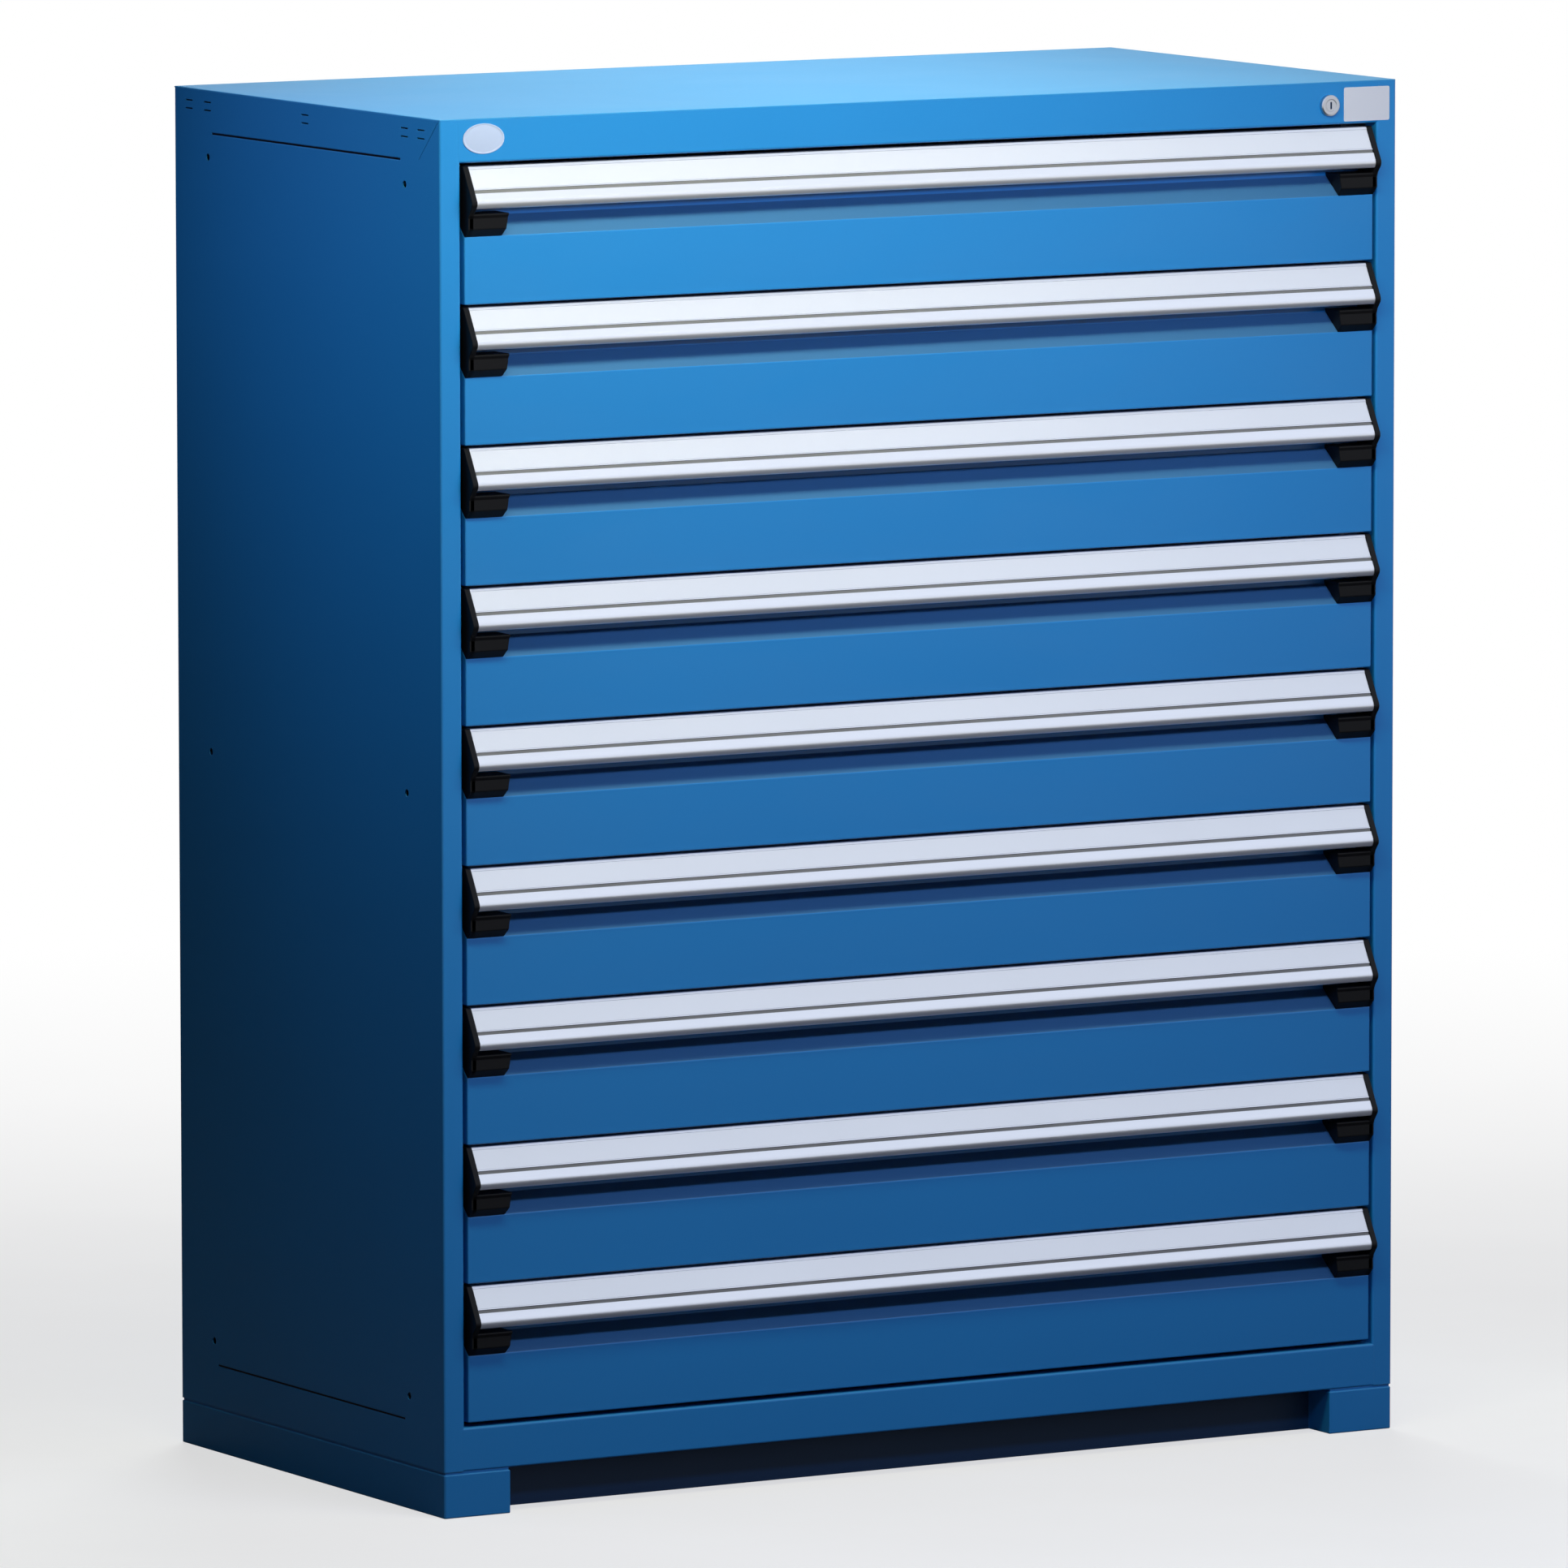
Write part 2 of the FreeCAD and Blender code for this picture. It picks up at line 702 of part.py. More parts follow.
def drawer_handle(number):
    """Extruded handle: a screwed leg, a sloped face with a label pocket, and a rolled lip."""
    top = drawer_top(number)
    path = [
        (y_at(recess_depth), top - handle_leg),
        (y_at(recess_depth), top - handle_top_drop),
        (y_at(handle_top_setback), top - handle_top_drop),
        (y_at(-nose_reach), top - nose_drop, nose_round - handle_wall),
        (y_at(-lip_reach), top - lip_drop, lip_round - handle_wall),
        (y_at(-lip_reach + lip_return), top - lip_drop),
    ]
    path.reverse()
    left, right = x_at(-1, front_inset + cap_wall), x_at(1, front_inset + cap_wall)
    body = side_prism(folded(path, handle_wall), left, right)
    groove = (groove_drop - handle_groove / 2, groove_drop + handle_groove / 2, handle_groove_depth)
    pockets = [face_pocket(top, *groove), face_pocket(top, label_top_drop, label_bottom_drop, label_depth)]
    return body.cut([side_prism(pocket, left, right) for pocket in pockets])


def face_pocket(top, first_drop, last_drop, depth):
    """Side outline of a channel let into the handle's sloped face between two drops."""
    along = Vector(-handle_slope, -1, 0).normalize()
    into = Vector(-along.y, along.x, 0)
    start, end = (
        Vector(y_at(handle_top_setback - handle_slope * (drop - handle_top_drop)), top - drop, 0)
        for drop in (first_drop, last_drop)
    )
    corners = [start - into, end - into, end + into * depth, start + into * depth]
    return [(corner.x, corner.y) for corner in corners]


def end_cap(number):
    """Left end cap: a moulded side wall beside the handle, and a block that fills the recess under it."""
    top = drawer_top(number)
    outline = cap_outline(lambda drop: top - drop, y_at)
    outer = x_at(-1, front_inset)
    wall = side_prism(outline, outer, outer + cap_wall)
    block = side_prism(outline, outer, outer + cap_block_width)
    over = box(
        (outer + cap_wall, outer + cap_block_width),
        (y_at(-cap_nose_reach), y_at(recess_depth)),
        (top, top - cap_throat_drop),
    )
    slant = front_prism(
        [
            (outer + cap_block_width, top - cap_throat_drop),
            (outer + cap_block_width, top - ramp_drop),
            (outer + cap_block_width - cap_block_slant, top - ramp_drop),
        ],
        y_at(-cap_nose_reach),
        y_at(recess_depth),
    )
    return wall.fuse(block.cut([over, slant])).removeSplitter()


def end_caps(number):
    left = end_cap(number)
    return group([left, mirrored(left)])


# ------------------------------------------------------------------ lock
def lock_point(setback, dx=0.0, dz=0.0):
    return Vector(lock_x + dx, y_at(setback), lock_z + dz)


def lock_barrel():
    """Fixed barrel with its raised round face."""
    face = rod(lock_face_radius, lock_point(-lock_face_height), lock_point(0))
    body = rod(barrel_radius, lock_point(0), lock_point(barrel_length))
    bore = rod(plug_radius + plug_clearance, lock_point(-lock_face_height), lock_point(barrel_length))
    return face.fuse(body).cut(bore)


def lock_plug():
    """Turning plug with its keyway and the square tang for the cam."""
    plug = rod(plug_radius, lock_point(plug_recess - lock_face_height), lock_point(barrel_length))
    half = tang_size / 2
    tang_end = barrel_length + cam_gap + cam_plate
    tang = box(
        (lock_x - half, lock_x + half), (y_at(barrel_length), y_at(tang_end)), (lock_z - half, lock_z + half)
    )
    keyway = box(
        (lock_x - keyway_width / 2, lock_x + keyway_width / 2),
        (y_at(plug_recess - lock_face_height), y_at(keyway_depth - lock_face_height)),
        (lock_z - keyway_height / 2, lock_z + keyway_height / 2),
    )
    return plug.fuse(tang).cut(keyway)


def lock_cam():
    """Cam on the plug's tang; its pin lifts the lock bar."""
    near, far = barrel_length + cam_gap, barrel_length + cam_gap + cam_plate
    offset = -cam_throw / math.sqrt(2.0)
    plate = rod(cam_width / 2, lock_point(near), lock_point(far))
    tip = rod(cam_width / 2, lock_point(near, offset, offset), lock_point(far, offset, offset))
    half = cam_width / 2 / math.sqrt(2.0)
    arm = front_prism(
        [
            (lock_x + half, lock_z - half),
            (lock_x - half, lock_z + half),
            (lock_x + offset - half, lock_z + offset + half),
            (lock_x + offset + half, lock_z + offset - half),
        ],
        y_at(near),
        y_at(far),
    )
    square = tang_size / 2 + plug_clearance
    hole = box(
        (lock_x - square, lock_x + square), (y_at(near), y_at(far)), (lock_z - square, lock_z + square)
    )
    pin_end = bar_back_setback + guide_clearance
    pin = rod(cam_pin_radius, lock_point(far, offset, offset), lock_point(pin_end, offset, offset))
    return plate.fuse([tip, arm]).cut(hole).fuse(pin).removeSplitter()


def lock_bar():
    """Lock bar on the right stile: an upright strip, a slotted arm at the lock, and a dog per drawer."""
    run = (y_at(bar_front_setback), y_at(bar_back_setback))
    pin_x, pin_z = lock_x - cam_throw / math.sqrt(2.0), lock_z - cam_throw / math.sqrt(2.0)
    arm_rise = (pin_z - bar_arm_height / 2, pin_z + bar_arm_height / 2)
    strip_foot = base_height + housing_sheet + bar_clearance
    strip = box((x_at(1, bar_outer), x_at(1, bar_inner)), run, (strip_foot, arm_rise[1]))
    slot_half = cam_pin_radius + slot_clearance
    slot_ends = (lock_x - cam_throw - slot_half, lock_x - cam_throw / math.sqrt(2.0) + slot_half)
    arm = box((slot_ends[0] - bar_arm_tail, x_at(1, bar_inner)), run, arm_rise)
    slot = box(slot_ends, run, (pin_z - slot_half, pin_z + slot_half))
    dogs = []
    for number in DRAWERS:
        z = drawer_top(number) - dog_drop
        rise = (z - dog_height / 2, z + dog_height / 2)
        back = (y_at(bar_back_setback), y_at(dog_back_setback))
        dogs.append(box((x_at(1, bar_outer), x_at(1, dog_reach)), back, rise))
    return group([strip, arm.cut(slot)] + dogs)


# ------------------------------------------------------------------ all the pieces
def all_pieces():
    """Every node's name and its shape."""
    left = side_panel()
    yield "side_panel_left", left
    yield "side_panel_right", mirrored(left).fuse(lock_bar_guides())
    yield "back_panel", back_panel()
    yield "top_panel", top_panel()
    yield "bottom_panel", bottom_panel()
    yield "header_rail", header_rail()
    yield "sill_rail", sill_rail()
    yield "uprights", uprights()
    yield "fixed_rails", fixed_rails()
    yield "base_frame", base_frame()
    yield "lock_barrel", lock_barrel()
    yield "lock_plug", lock_plug()
    yield "lock_cam", lock_cam()
    yield "lock_bar", lock_bar()
    for number in DRAWERS:
        yield f"carriage_{number}", carriages(number)
        yield f"drawer_{number}_tray", drawer_tray(number)
        yield f"drawer_{number}_front", drawer_front(number)
        yield f"drawer_{number}_handle", drawer_handle(number)
        yield f"drawer_{number}_end_caps", end_caps(number)


os.makedirs("parts", exist_ok=True)
for name, shape in all_pieces():
    shape.exportStep(os.path.join("parts", name + ".step"))
    print(f"{name}: {len(shape.Solids)} solids, {shape.Volume / 1000:.1f} cm3, valid {shape.isValid()}")
print(f"drawer travel {drawer_travel:.2f}, carriage travel {carriage_travel:.2f}, bar lift {bar_lift:.3f}")
print(f"front plane at y {front_plane:.3f}, lock at x {lock_x:.3f} z {lock_z:.3f}")
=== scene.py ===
# %% [markdown]
# # A steel drawer cabinet, dressed for the camera
# The cabinet is a folded steel housing on a recessed base, with nine wide drawers. Its construction comes in
# as a fixed frame. This lesson gives it its finishes and its softly rounded skins: drawer fronts, handles,
# caps. Every new piece is a surface worked out with numpy, in metres, in the same place as the part that it
# covers.

import json
import math

import bmesh
import bpy
import numpy as np
from mathutils import Matrix, Vector

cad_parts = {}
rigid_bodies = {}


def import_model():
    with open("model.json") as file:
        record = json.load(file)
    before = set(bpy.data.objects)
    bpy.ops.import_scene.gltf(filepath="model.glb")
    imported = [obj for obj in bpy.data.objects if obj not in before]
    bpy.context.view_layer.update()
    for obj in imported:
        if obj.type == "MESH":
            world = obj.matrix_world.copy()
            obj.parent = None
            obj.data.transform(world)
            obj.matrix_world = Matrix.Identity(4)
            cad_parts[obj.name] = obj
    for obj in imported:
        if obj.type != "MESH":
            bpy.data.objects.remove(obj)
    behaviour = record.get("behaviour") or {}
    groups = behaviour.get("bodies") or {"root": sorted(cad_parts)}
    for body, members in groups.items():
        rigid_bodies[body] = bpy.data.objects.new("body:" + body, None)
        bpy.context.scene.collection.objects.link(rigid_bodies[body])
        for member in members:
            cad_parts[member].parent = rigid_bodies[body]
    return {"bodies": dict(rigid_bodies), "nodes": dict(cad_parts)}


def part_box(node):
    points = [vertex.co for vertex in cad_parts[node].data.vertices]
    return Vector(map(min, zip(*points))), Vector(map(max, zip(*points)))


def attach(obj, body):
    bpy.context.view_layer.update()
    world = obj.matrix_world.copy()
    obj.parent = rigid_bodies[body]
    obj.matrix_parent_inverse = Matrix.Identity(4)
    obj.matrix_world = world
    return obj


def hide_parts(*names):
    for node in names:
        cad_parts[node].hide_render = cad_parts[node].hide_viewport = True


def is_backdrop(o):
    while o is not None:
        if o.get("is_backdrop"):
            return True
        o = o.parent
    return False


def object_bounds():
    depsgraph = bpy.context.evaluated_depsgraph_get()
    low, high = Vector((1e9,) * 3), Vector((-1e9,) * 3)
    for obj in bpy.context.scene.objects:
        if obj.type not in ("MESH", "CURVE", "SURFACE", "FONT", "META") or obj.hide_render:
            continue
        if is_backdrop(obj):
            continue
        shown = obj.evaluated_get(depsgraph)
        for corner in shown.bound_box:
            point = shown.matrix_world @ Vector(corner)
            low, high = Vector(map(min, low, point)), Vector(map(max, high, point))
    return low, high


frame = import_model()
box_of_the_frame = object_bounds()
drawers = sorted(int(name.split("_")[1]) for name in frame["bodies"] if name.startswith("drawer_"))
print(f"{len(frame['nodes'])} nodes, {len(drawers)} drawers")

# %% [markdown]
# ## Where things are
# Three words place every part. A setback is a distance behind the front plane of the housing, an inset is a
# distance inwards from the side of the housing, and a drop is a distance below a drawer's top edge. All three
# are measured from the frame, so that a piece lands on the part that carries it.

# %% Measure the frame
MM = 0.001
front_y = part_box("header_rail")[0].y
back_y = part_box("side_panel_left")[1].y
half_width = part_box("side_panel_right")[1].x
top_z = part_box("top_panel")[1].z
base_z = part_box("base_frame")[1].z
front_sheet_drop = 1.0 * MM


def drawer_top(number):
    """Height of a drawer's top edge, which is a little above the sheet of its front."""
    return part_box(f"drawer_{number}_front")[1].z + front_sheet_drop


print(f"front at y {front_y:.4f}, top edges at z {[round(drawer_top(n), 4) for n in drawers]}")

# %% [markdown]
# ## Rounded outlines
# Bent sheet and extruded bars have no sharp corners, and the thin line of light on a rounded edge is what
# makes metal look real. Blender could round edges with a modifier. Here the arcs are worked out instead,
# because each fold has its own radius. A short strip of flat beside each arc keeps the large flat faces flat
# in the shading.

# %% Outlines with arcs
GUARD = 0.1 * MM


def rounded(corners, inset=0.0, steps=5):
    """Closed outline with an arc at every corner, moved inwards by an inset.

    Corners are rows of (a, b, radius), anticlockwise. A corner that turns by an angle t has an arc that
    starts radius * tan(t / 2) before it, round a centre one radius off both edges.
    """
    rows = np.array(corners, float)
    point, radius = rows[:, :2], rows[:, 2]
    arrive = point - np.roll(point, 1, 0)
    arrive /= np.linalg.norm(arrive, axis=1, keepdims=True)
    leave = np.roll(arrive, -1, 0)
    inward = np.stack([-arrive[:, 1], arrive[:, 0]], 1)
    next_inward = np.roll(inward, -1, 0)
    cross = arrive[:, 0] * leave[:, 1] - arrive[:, 1] * leave[:, 0]
    turn = np.arctan2(cross, (arrive * leave).sum(1))
    side = np.sign(turn)
    point = point + inset * (inward + next_inward) / (1 + (inward * next_inward).sum(1))[:, None]
    radius = np.maximum(radius - side * inset, 0.02 * MM)
    reach = radius * np.tan(np.abs(turn) / 2)
    start = point - arrive * reach[:, None]
    centre = start + inward * (side * radius)[:, None]
    first = np.arctan2(start[:, 1] - centre[:, 1], start[:, 0] - centre[:, 0])
    angle = first[:, None] + turn[:, None] * np.linspace(0, 1, steps + 1)
    arc = centre[:, None] + radius[:, None, None] * np.stack([np.cos(angle), np.sin(angle)], 2)
    before = (start - arrive * GUARD)[:, None]
    after = arc[:, -1:] + leave[:, None] * GUARD
    return np.concatenate([before, arc, after], 1).reshape(-1, 2)


def folded(path, thickness, end_radius):
    """Corners of a folded sheet's outline: the path, and its copy moved to the right by the thickness.

    Path rows are (a, b, outer radius). The inner radius of a fold is the outer one less the thickness.
    """
    rows = np.array(path, float)
    point = rows[:, :2]
    way = np.diff(point, axis=0)
    way /= np.linalg.norm(way, axis=1, keepdims=True)
    right = np.stack([way[:, 1], -way[:, 0]], 1)
    before = np.concatenate([right[:1], right])
    after = np.concatenate([right, right[-1:]])
    far = point + thickness * (before + after) / (1 + (before * after).sum(1))[:, None]
    radius = rows[:, 2].copy()
    radius[[0, -1]] = end_radius
    inner = np.maximum(radius - thickness, end_radius)
    near_side = np.column_stack([point, radius])
    far_side = np.column_stack([far, inner])[::-1]
    return np.concatenate([near_side, far_side])[::-1]


# %% [markdown]
# ## From outline to mesh
# A bar is an outline carried along one axis. Its two ends are rounded too: the last rings shrink inwards
# along a quarter circle. All points come out as one array of rings, and the faces are index arrays made in
# one go.

# %% Meshes from rings
AXES = {"x": [2, 0, 1], "y": [0, 2, 1], "z": [0, 1, 2]}
END_RINGS = 4
SHARP_ANGLE = math.radians(32)
MIRROR = np.array([-1, 1, 1])


def bar(corners, low, high, edge=0.0, along="x", steps=5):
    """Rings of a straight bar from low to high along one axis, with its ends rounded by an edge radius.

    Ring k of an end is inset by edge * (1 - sin(a)) and lies edge * (1 - cos(a)) from the end, for an angle a
    from 0 to 90 degrees.
    """
    if edge:
        angle = np.linspace(0, math.pi / 2, END_RINGS)
        insets = [edge + GUARD, *(edge * (1 - np.sin(angle))), 0.0]
        depth = np.array([0.0, *(edge * (1 - np.cos(angle))), edge + GUARD])
    else:
        insets, depth = [0.0], np.zeros(1)
    end = np.array([rounded(corners, inset, steps) for inset in insets])
    outline = np.concatenate([end, end[::-1]])
    place = np.concatenate([low + depth, (high - depth)[::-1]])
    rings = np.dstack([outline, np.broadcast_to(place[:, None], outline.shape[:2])])
    return rings[:, :, AXES[along]]


def ring_faces(rings, count, start, ends):
    """Quads between neighbouring rings; ends is "caps" for two end faces or "loop" to close the rings."""
    last = rings if ends == "loop" else rings - 1
    row = np.arange(last)[:, None] * count
    next_row = (np.arange(last)[:, None] + 1) % rings * count
    here = np.arange(count)[None]
    beside = (here + 1) % count
    quads = np.stack([row + here, row + beside, next_row + beside, next_row + here], -1)
    faces = (quads.reshape(-1, 4) + start).tolist()
    if ends == "caps":
        first = np.arange(start, start + count)
        faces += [first[::-1].tolist(), (first + (rings - 1) * count).tolist()]
    return faces


def make_mesh(name, shells):
    """One object from several closed shells, each given as (rings, ends) or as (points, quads)."""
    points, faces, start = [], [], 0
    for rings, ends in shells:
        points.append(rings.reshape(-1, 3))
        if isinstance(ends, str):
            faces += ring_faces(*rings.shape[:2], start, ends)
        else:
            faces += (ends + start).tolist()
        start += len(points[-1])
    mesh = bpy.data.meshes.new(name)
    mesh.from_pydata(np.concatenate(points), [], faces)
    work = bmesh.new()
    work.from_mesh(mesh)
    bmesh.ops.recalc_face_normals(work, faces=work.faces)
    work.to_mesh(mesh)
    work.free()
    mesh.polygons.foreach_set("use_smooth", np.ones(len(mesh.polygons), bool))
    mesh.set_sharp_from_angle(angle=SHARP_ANGLE)
    piece = bpy.data.objects.new(name, mesh)
    bpy.context.scene.collection.objects.link(piece)
    return piece


def settle(piece, body, slot, material, *nodes):
    """Puts a finished piece on its body, with its finish and the nodes that it stands for."""
    piece.data.materials.append(material)
    if nodes:
        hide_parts(*nodes)
    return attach(piece, body)


# %% [markdown]
# ## Surface effects as node groups
# Several finishes share the same few effects: a slow drift of tone, a fine pebbled skin, smears that change
# the gloss, and edges where the coat is thin and a lighter colour paints a highlight. Each effect is one node
# group with named inputs, built once.

# %% Node group helper
def new_group(name, inputs, outputs):
    """A shader node group. Inputs are (label, socket type, value), outputs are (label, socket type)."""
    group = bpy.data.node_groups.new(name, "ShaderNodeTree")
    for label, kind, value in inputs:
        group.interface.new_socket(label, in_out="INPUT", socket_type=kind).default_value = value
    for label, kind in outputs:
        group.interface.new_socket(label, in_out="OUTPUT", socket_type=kind)
    return group, group.nodes.new("NodeGroupInput").outputs, group.nodes.new("NodeGroupOutput").inputs


def add(tree, kind, links=(), **settings):
    """A node with its settings, and with links or values on its inputs: {"Input": socket or value}."""
    node = tree.nodes.new(kind)
    for key, value in settings.items():
        setattr(node, key, value)
    for key, value in dict(links).items():
        if isinstance(value, bpy.types.NodeSocket):
            tree.links.new(value, node.inputs[key])
        else:
            node.inputs[key].default_value = value
    return node


def maths(tree, operation, first, second=0.0):
    """The output of a math node; each input is a socket or a value."""
    return add(tree, "ShaderNodeMath", {0: first, 1: second}, operation=operation).outputs[0]


def ramp(tree, value, between, levels):
    """A value that goes smoothly from one level to another while its input goes between two limits."""
    low, high = between
    links = {"Value": value, "From Min": low, "From Max": high, "To Min": levels[0], "To Max": levels[1]}
    return add(tree, "ShaderNodeMapRange", links, interpolation_type="SMOOTHSTEP").outputs["Result"]


def mix(tree, factor, first, second, kind="RGBA"):
    """A mix of two colours, or of two numbers with the kind FLOAT; each is a socket or a value."""
    links = {"Factor": factor, "A": first, "B": second}
    return add(tree, "ShaderNodeMix", links, data_type=kind).outputs["Result"]


def parts_of(tree, vector):
    """The x, y and z of a vector."""
    return add(tree, "ShaderNodeSeparateXYZ", {"Vector": vector}).outputs


def coordinates(tree, kind="Object"):
    """Texture coordinates, in the piece's own axes unless another kind is asked for."""
    return tree.nodes.new("ShaderNodeTexCoord").outputs[kind]


NUMBER, COLOUR = "NodeSocketFloat", "NodeSocketColor"

# %% Tone drift, pebbled skin, smears
def tone_drift():
    """Colour made slightly darker and lighter in large soft patches."""
    group, given, result = new_group(
        "Tone drift", [("Color", COLOUR, (1, 1, 1, 1)), ("Amount", NUMBER, 0.1), ("Scale", NUMBER, 4.0)],
        [("Color", COLOUR)],
    )
    noise = add(
        group, "ShaderNodeTexNoise", {"Vector": coordinates(group), "Scale": given["Scale"], "Detail": 3.0}
    )
    swing = maths(group, "MULTIPLY", maths(group, "SUBTRACT", noise.outputs["Fac"], 0.5), given["Amount"])
    level = maths(group, "ADD", swing, 1.0)
    tinted = add(group, "ShaderNodeHueSaturation", {"Color": given["Color"], "Value": level})
    group.links.new(tinted.outputs["Color"], result["Color"])
    return group


def pebbled_skin():
    """Height of a fine even texture, as on powder coat or plastic: coarse grains and finer ones."""
    finer, finer_share = 2.7, 0.4
    group, given, result = new_group("Pebbled skin", [("Scale", NUMBER, 700.0)], [("Height", NUMBER)])
    place = coordinates(group)
    coarse = add(group, "ShaderNodeTexNoise", {"Vector": place, "Scale": given["Scale"], "Detail": 1.0})
    fine_scale = maths(group, "MULTIPLY", given["Scale"], finer)
    fine = add(group, "ShaderNodeTexNoise", {"Vector": place, "Scale": fine_scale, "Detail": 0.0})
    grains = maths(group, "MULTIPLY", fine.outputs["Fac"], finer_share)
    group.links.new(maths(group, "ADD", coarse.outputs["Fac"], grains), result["Height"])
    return group


def smears():
    """Roughness that wanders round a middle value, as where a cloth has wiped."""
    group, given, result = new_group(
        "Smears", [("Roughness", NUMBER, 0.4), ("Spread", NUMBER, 0.1)], [("Roughness", NUMBER)]
    )
    stretch = add(group, "ShaderNodeMapping", {"Vector": coordinates(group), "Scale": (3.0, 3.0, 9.0)})
    noise = add(
        group, "ShaderNodeTexNoise",
        {"Vector": stretch.outputs["Vector"], "Scale": 1.6, "Detail": 5.0, "Distortion": 0.6},
    )
    swing = maths(group, "MULTIPLY", maths(group, "SUBTRACT", noise.outputs["Fac"], 0.5), given["Spread"])
    group.links.new(maths(group, "ADD", swing, given["Roughness"]), result["Roughness"])
    return group


# Painted highlight: this mask lightens the coat on sharp folds. This is partly for the thinner coat and partly a
# painted highlight.
def thin_coat_and_highlight_edges():
    """Mask of the sharp edges: how far the surface's direction differs from that of a rounded copy."""
    group, given, result = new_group("Thin coat and painted highlight edges", [("Radius", NUMBER, 1.5 * MM)], [("Mask", NUMBER)])
    round_copy = add(group, "ShaderNodeBevel", {"Radius": given["Radius"]}, samples=4)
    straight = group.nodes.new("ShaderNodeNewGeometry").outputs["Normal"]
    match = add(
        group, "ShaderNodeVectorMath", {0: round_copy.outputs["Normal"], 1: straight}, operation="DOT_PRODUCT"
    )
    mask = add(
        group, "ShaderNodeMapRange",
        {"Value": match.outputs["Value"], "From Min": 0.995, "From Max": 0.8, "To Min": 0.0, "To Max": 1.0},
    )
    group.links.new(mask.outputs["Result"], result["Mask"])
    return group


def drawn_lines():
    """Long fine lines along X, as a die leaves on an extrusion or a mill on drawn strip."""
    group, given, result = new_group(
        "Drawn lines", [("Scale", NUMBER, 900.0)], [("Height", NUMBER), ("Roughness", NUMBER)]
    )
    stretch = add(group, "ShaderNodeMapping", {"Vector": coordinates(group), "Scale": (0.004, 1.0, 1.0)})
    noise = add(
        group, "ShaderNodeTexNoise",
        {"Vector": stretch.outputs["Vector"], "Scale": given["Scale"], "Detail": 4.0, "Roughness": 0.7},
    )
    rough = add(
        group, "ShaderNodeMapRange",
        {"Value": noise.outputs["Fac"], "From Min": 0.3, "From Max": 0.7, "To Min": 0.3, "To Max": 0.46},
    )
    group.links.new(noise.outputs["Fac"], result["Height"])
    group.links.new(rough.outputs["Result"], result["Roughness"])
    return group


GROUPS = {
    "drift": tone_drift(), "skin": pebbled_skin(), "smears": smears(), "edges": thin_coat_and_highlight_edges(),
    "lines": drawn_lines(),
}


def place_group(tree, key, **values):
    """One of the effects in a material, with its own values."""
    return add(tree, "ShaderNodeGroup", {k.capitalize(): v for k, v in values.items()}, node_tree=GROUPS[key])


print("effects:", ", ".join(group.name for group in GROUPS.values()))

# %% [markdown]
# ## Powder coat
# The housing, base and drawer fronts are powder coated. The coat melts into a satin skin with a faint orange
# peel, a little thinner on the folds, where a lighter colour also paints a highlight. The colour is deep blue
# and even, so only a slow drift of tone is added, and the smears change the gloss instead of the colour. Faces
# that look up get painted light. The housing's top is painted lighter and greener, as if more light fell on it.
# The ramps of the finger recesses are painted darker and greyer, as painted shade under the handle with a
# painted grey sheen.

# %% Painted steel
def start_material(name):
    """A new material, its node tree and its shader."""
    material = bpy.data.materials.new(name)
    material.use_nodes = True
    tree = material.node_tree
    return material, tree, tree.nodes["Principled BSDF"]


def bump(tree, shader, height, distance, strength=1.0, normal=None):
    """Lets a height shade the surface; normal is a softened one to start from."""
    links = {"Height": height, "Distance": distance, "Strength": strength}
    if normal is not None:
        links["Normal"] = normal
    node = add(tree, "ShaderNodeBump", links)
    tree.links.new(node.outputs["Normal"], shader.inputs["Normal"])


def glaze(tree, shader, gloss, grain, corner=None):
    """Smears as (roughness, spread) and a skin as (scale, depth).

    Corner is the radius that softens sharp folds.
    """
    smear = place_group(tree, "smears", roughness=gloss[0], spread=gloss[1])
    tree.links.new(smear.outputs["Roughness"], shader.inputs["Roughness"])
    skin = place_group(tree, "skin", scale=grain[0])
    softened = None
    if corner:
        softened = add(tree, "ShaderNodeBevel", {"Radius": corner}, samples=4).outputs["Normal"]
    bump(tree, shader, skin.outputs["Height"], grain[1], 1.0, softened)


def looks_up(tree):
    """1 where the piece's own surface looks up, 0 where it is upright or looks down."""
    return ramp(tree, parts_of(tree, coordinates(tree, "Normal"))["Z"], (0.35, 0.65), (0.0, 1.0))


def powder_coat(name, colour, light, roughness, corner=None, specular=0.7, upward_painted_shading=None):
    """Satin powder coat: light colours the folds, for a thinner coat and a painted highlight; faces that look up
    may take their own colour, which is painted light or shade.
    """
    material, tree, shader = start_material(name)
    base = (*colour, 1)
    # Painted light: faces that look up take their own colour. It is lighter and greener on the housing's top, and
    # darker and greyer on the recess ramps as painted shade and sheen.
    if upward_painted_shading:
        base = mix(tree, looks_up(tree), base, (*upward_painted_shading, 1))
    drift = place_group(tree, "drift", color=base, amount=0.10, scale=2.2)
    edge = place_group(tree, "edges", radius=1.6 * MM)
    # Folds get a lighter colour: partly a thinner coat, partly a painted highlight.
    thin_coat_and_highlight = maths(tree, "MULTIPLY", edge.outputs["Mask"], 0.35)
    tree.links.new(mix(tree, thin_coat_and_highlight, drift.outputs["Color"], (*light, 1)), shader.inputs["Base Color"])
    shader.inputs["Specular IOR Level"].default_value = specular
    glaze(tree, shader, (roughness, 0.12), (650.0, 0.02 * MM), corner)
    return material


# The second colour of the blue pair and of the grey pair goes on the folds: partly a thinner coat, partly a
# painted highlight.
BLUE, BLUE_THIN_COAT_AND_HIGHLIGHT = (0.012, 0.230, 0.590), (0.05, 0.33, 0.72)
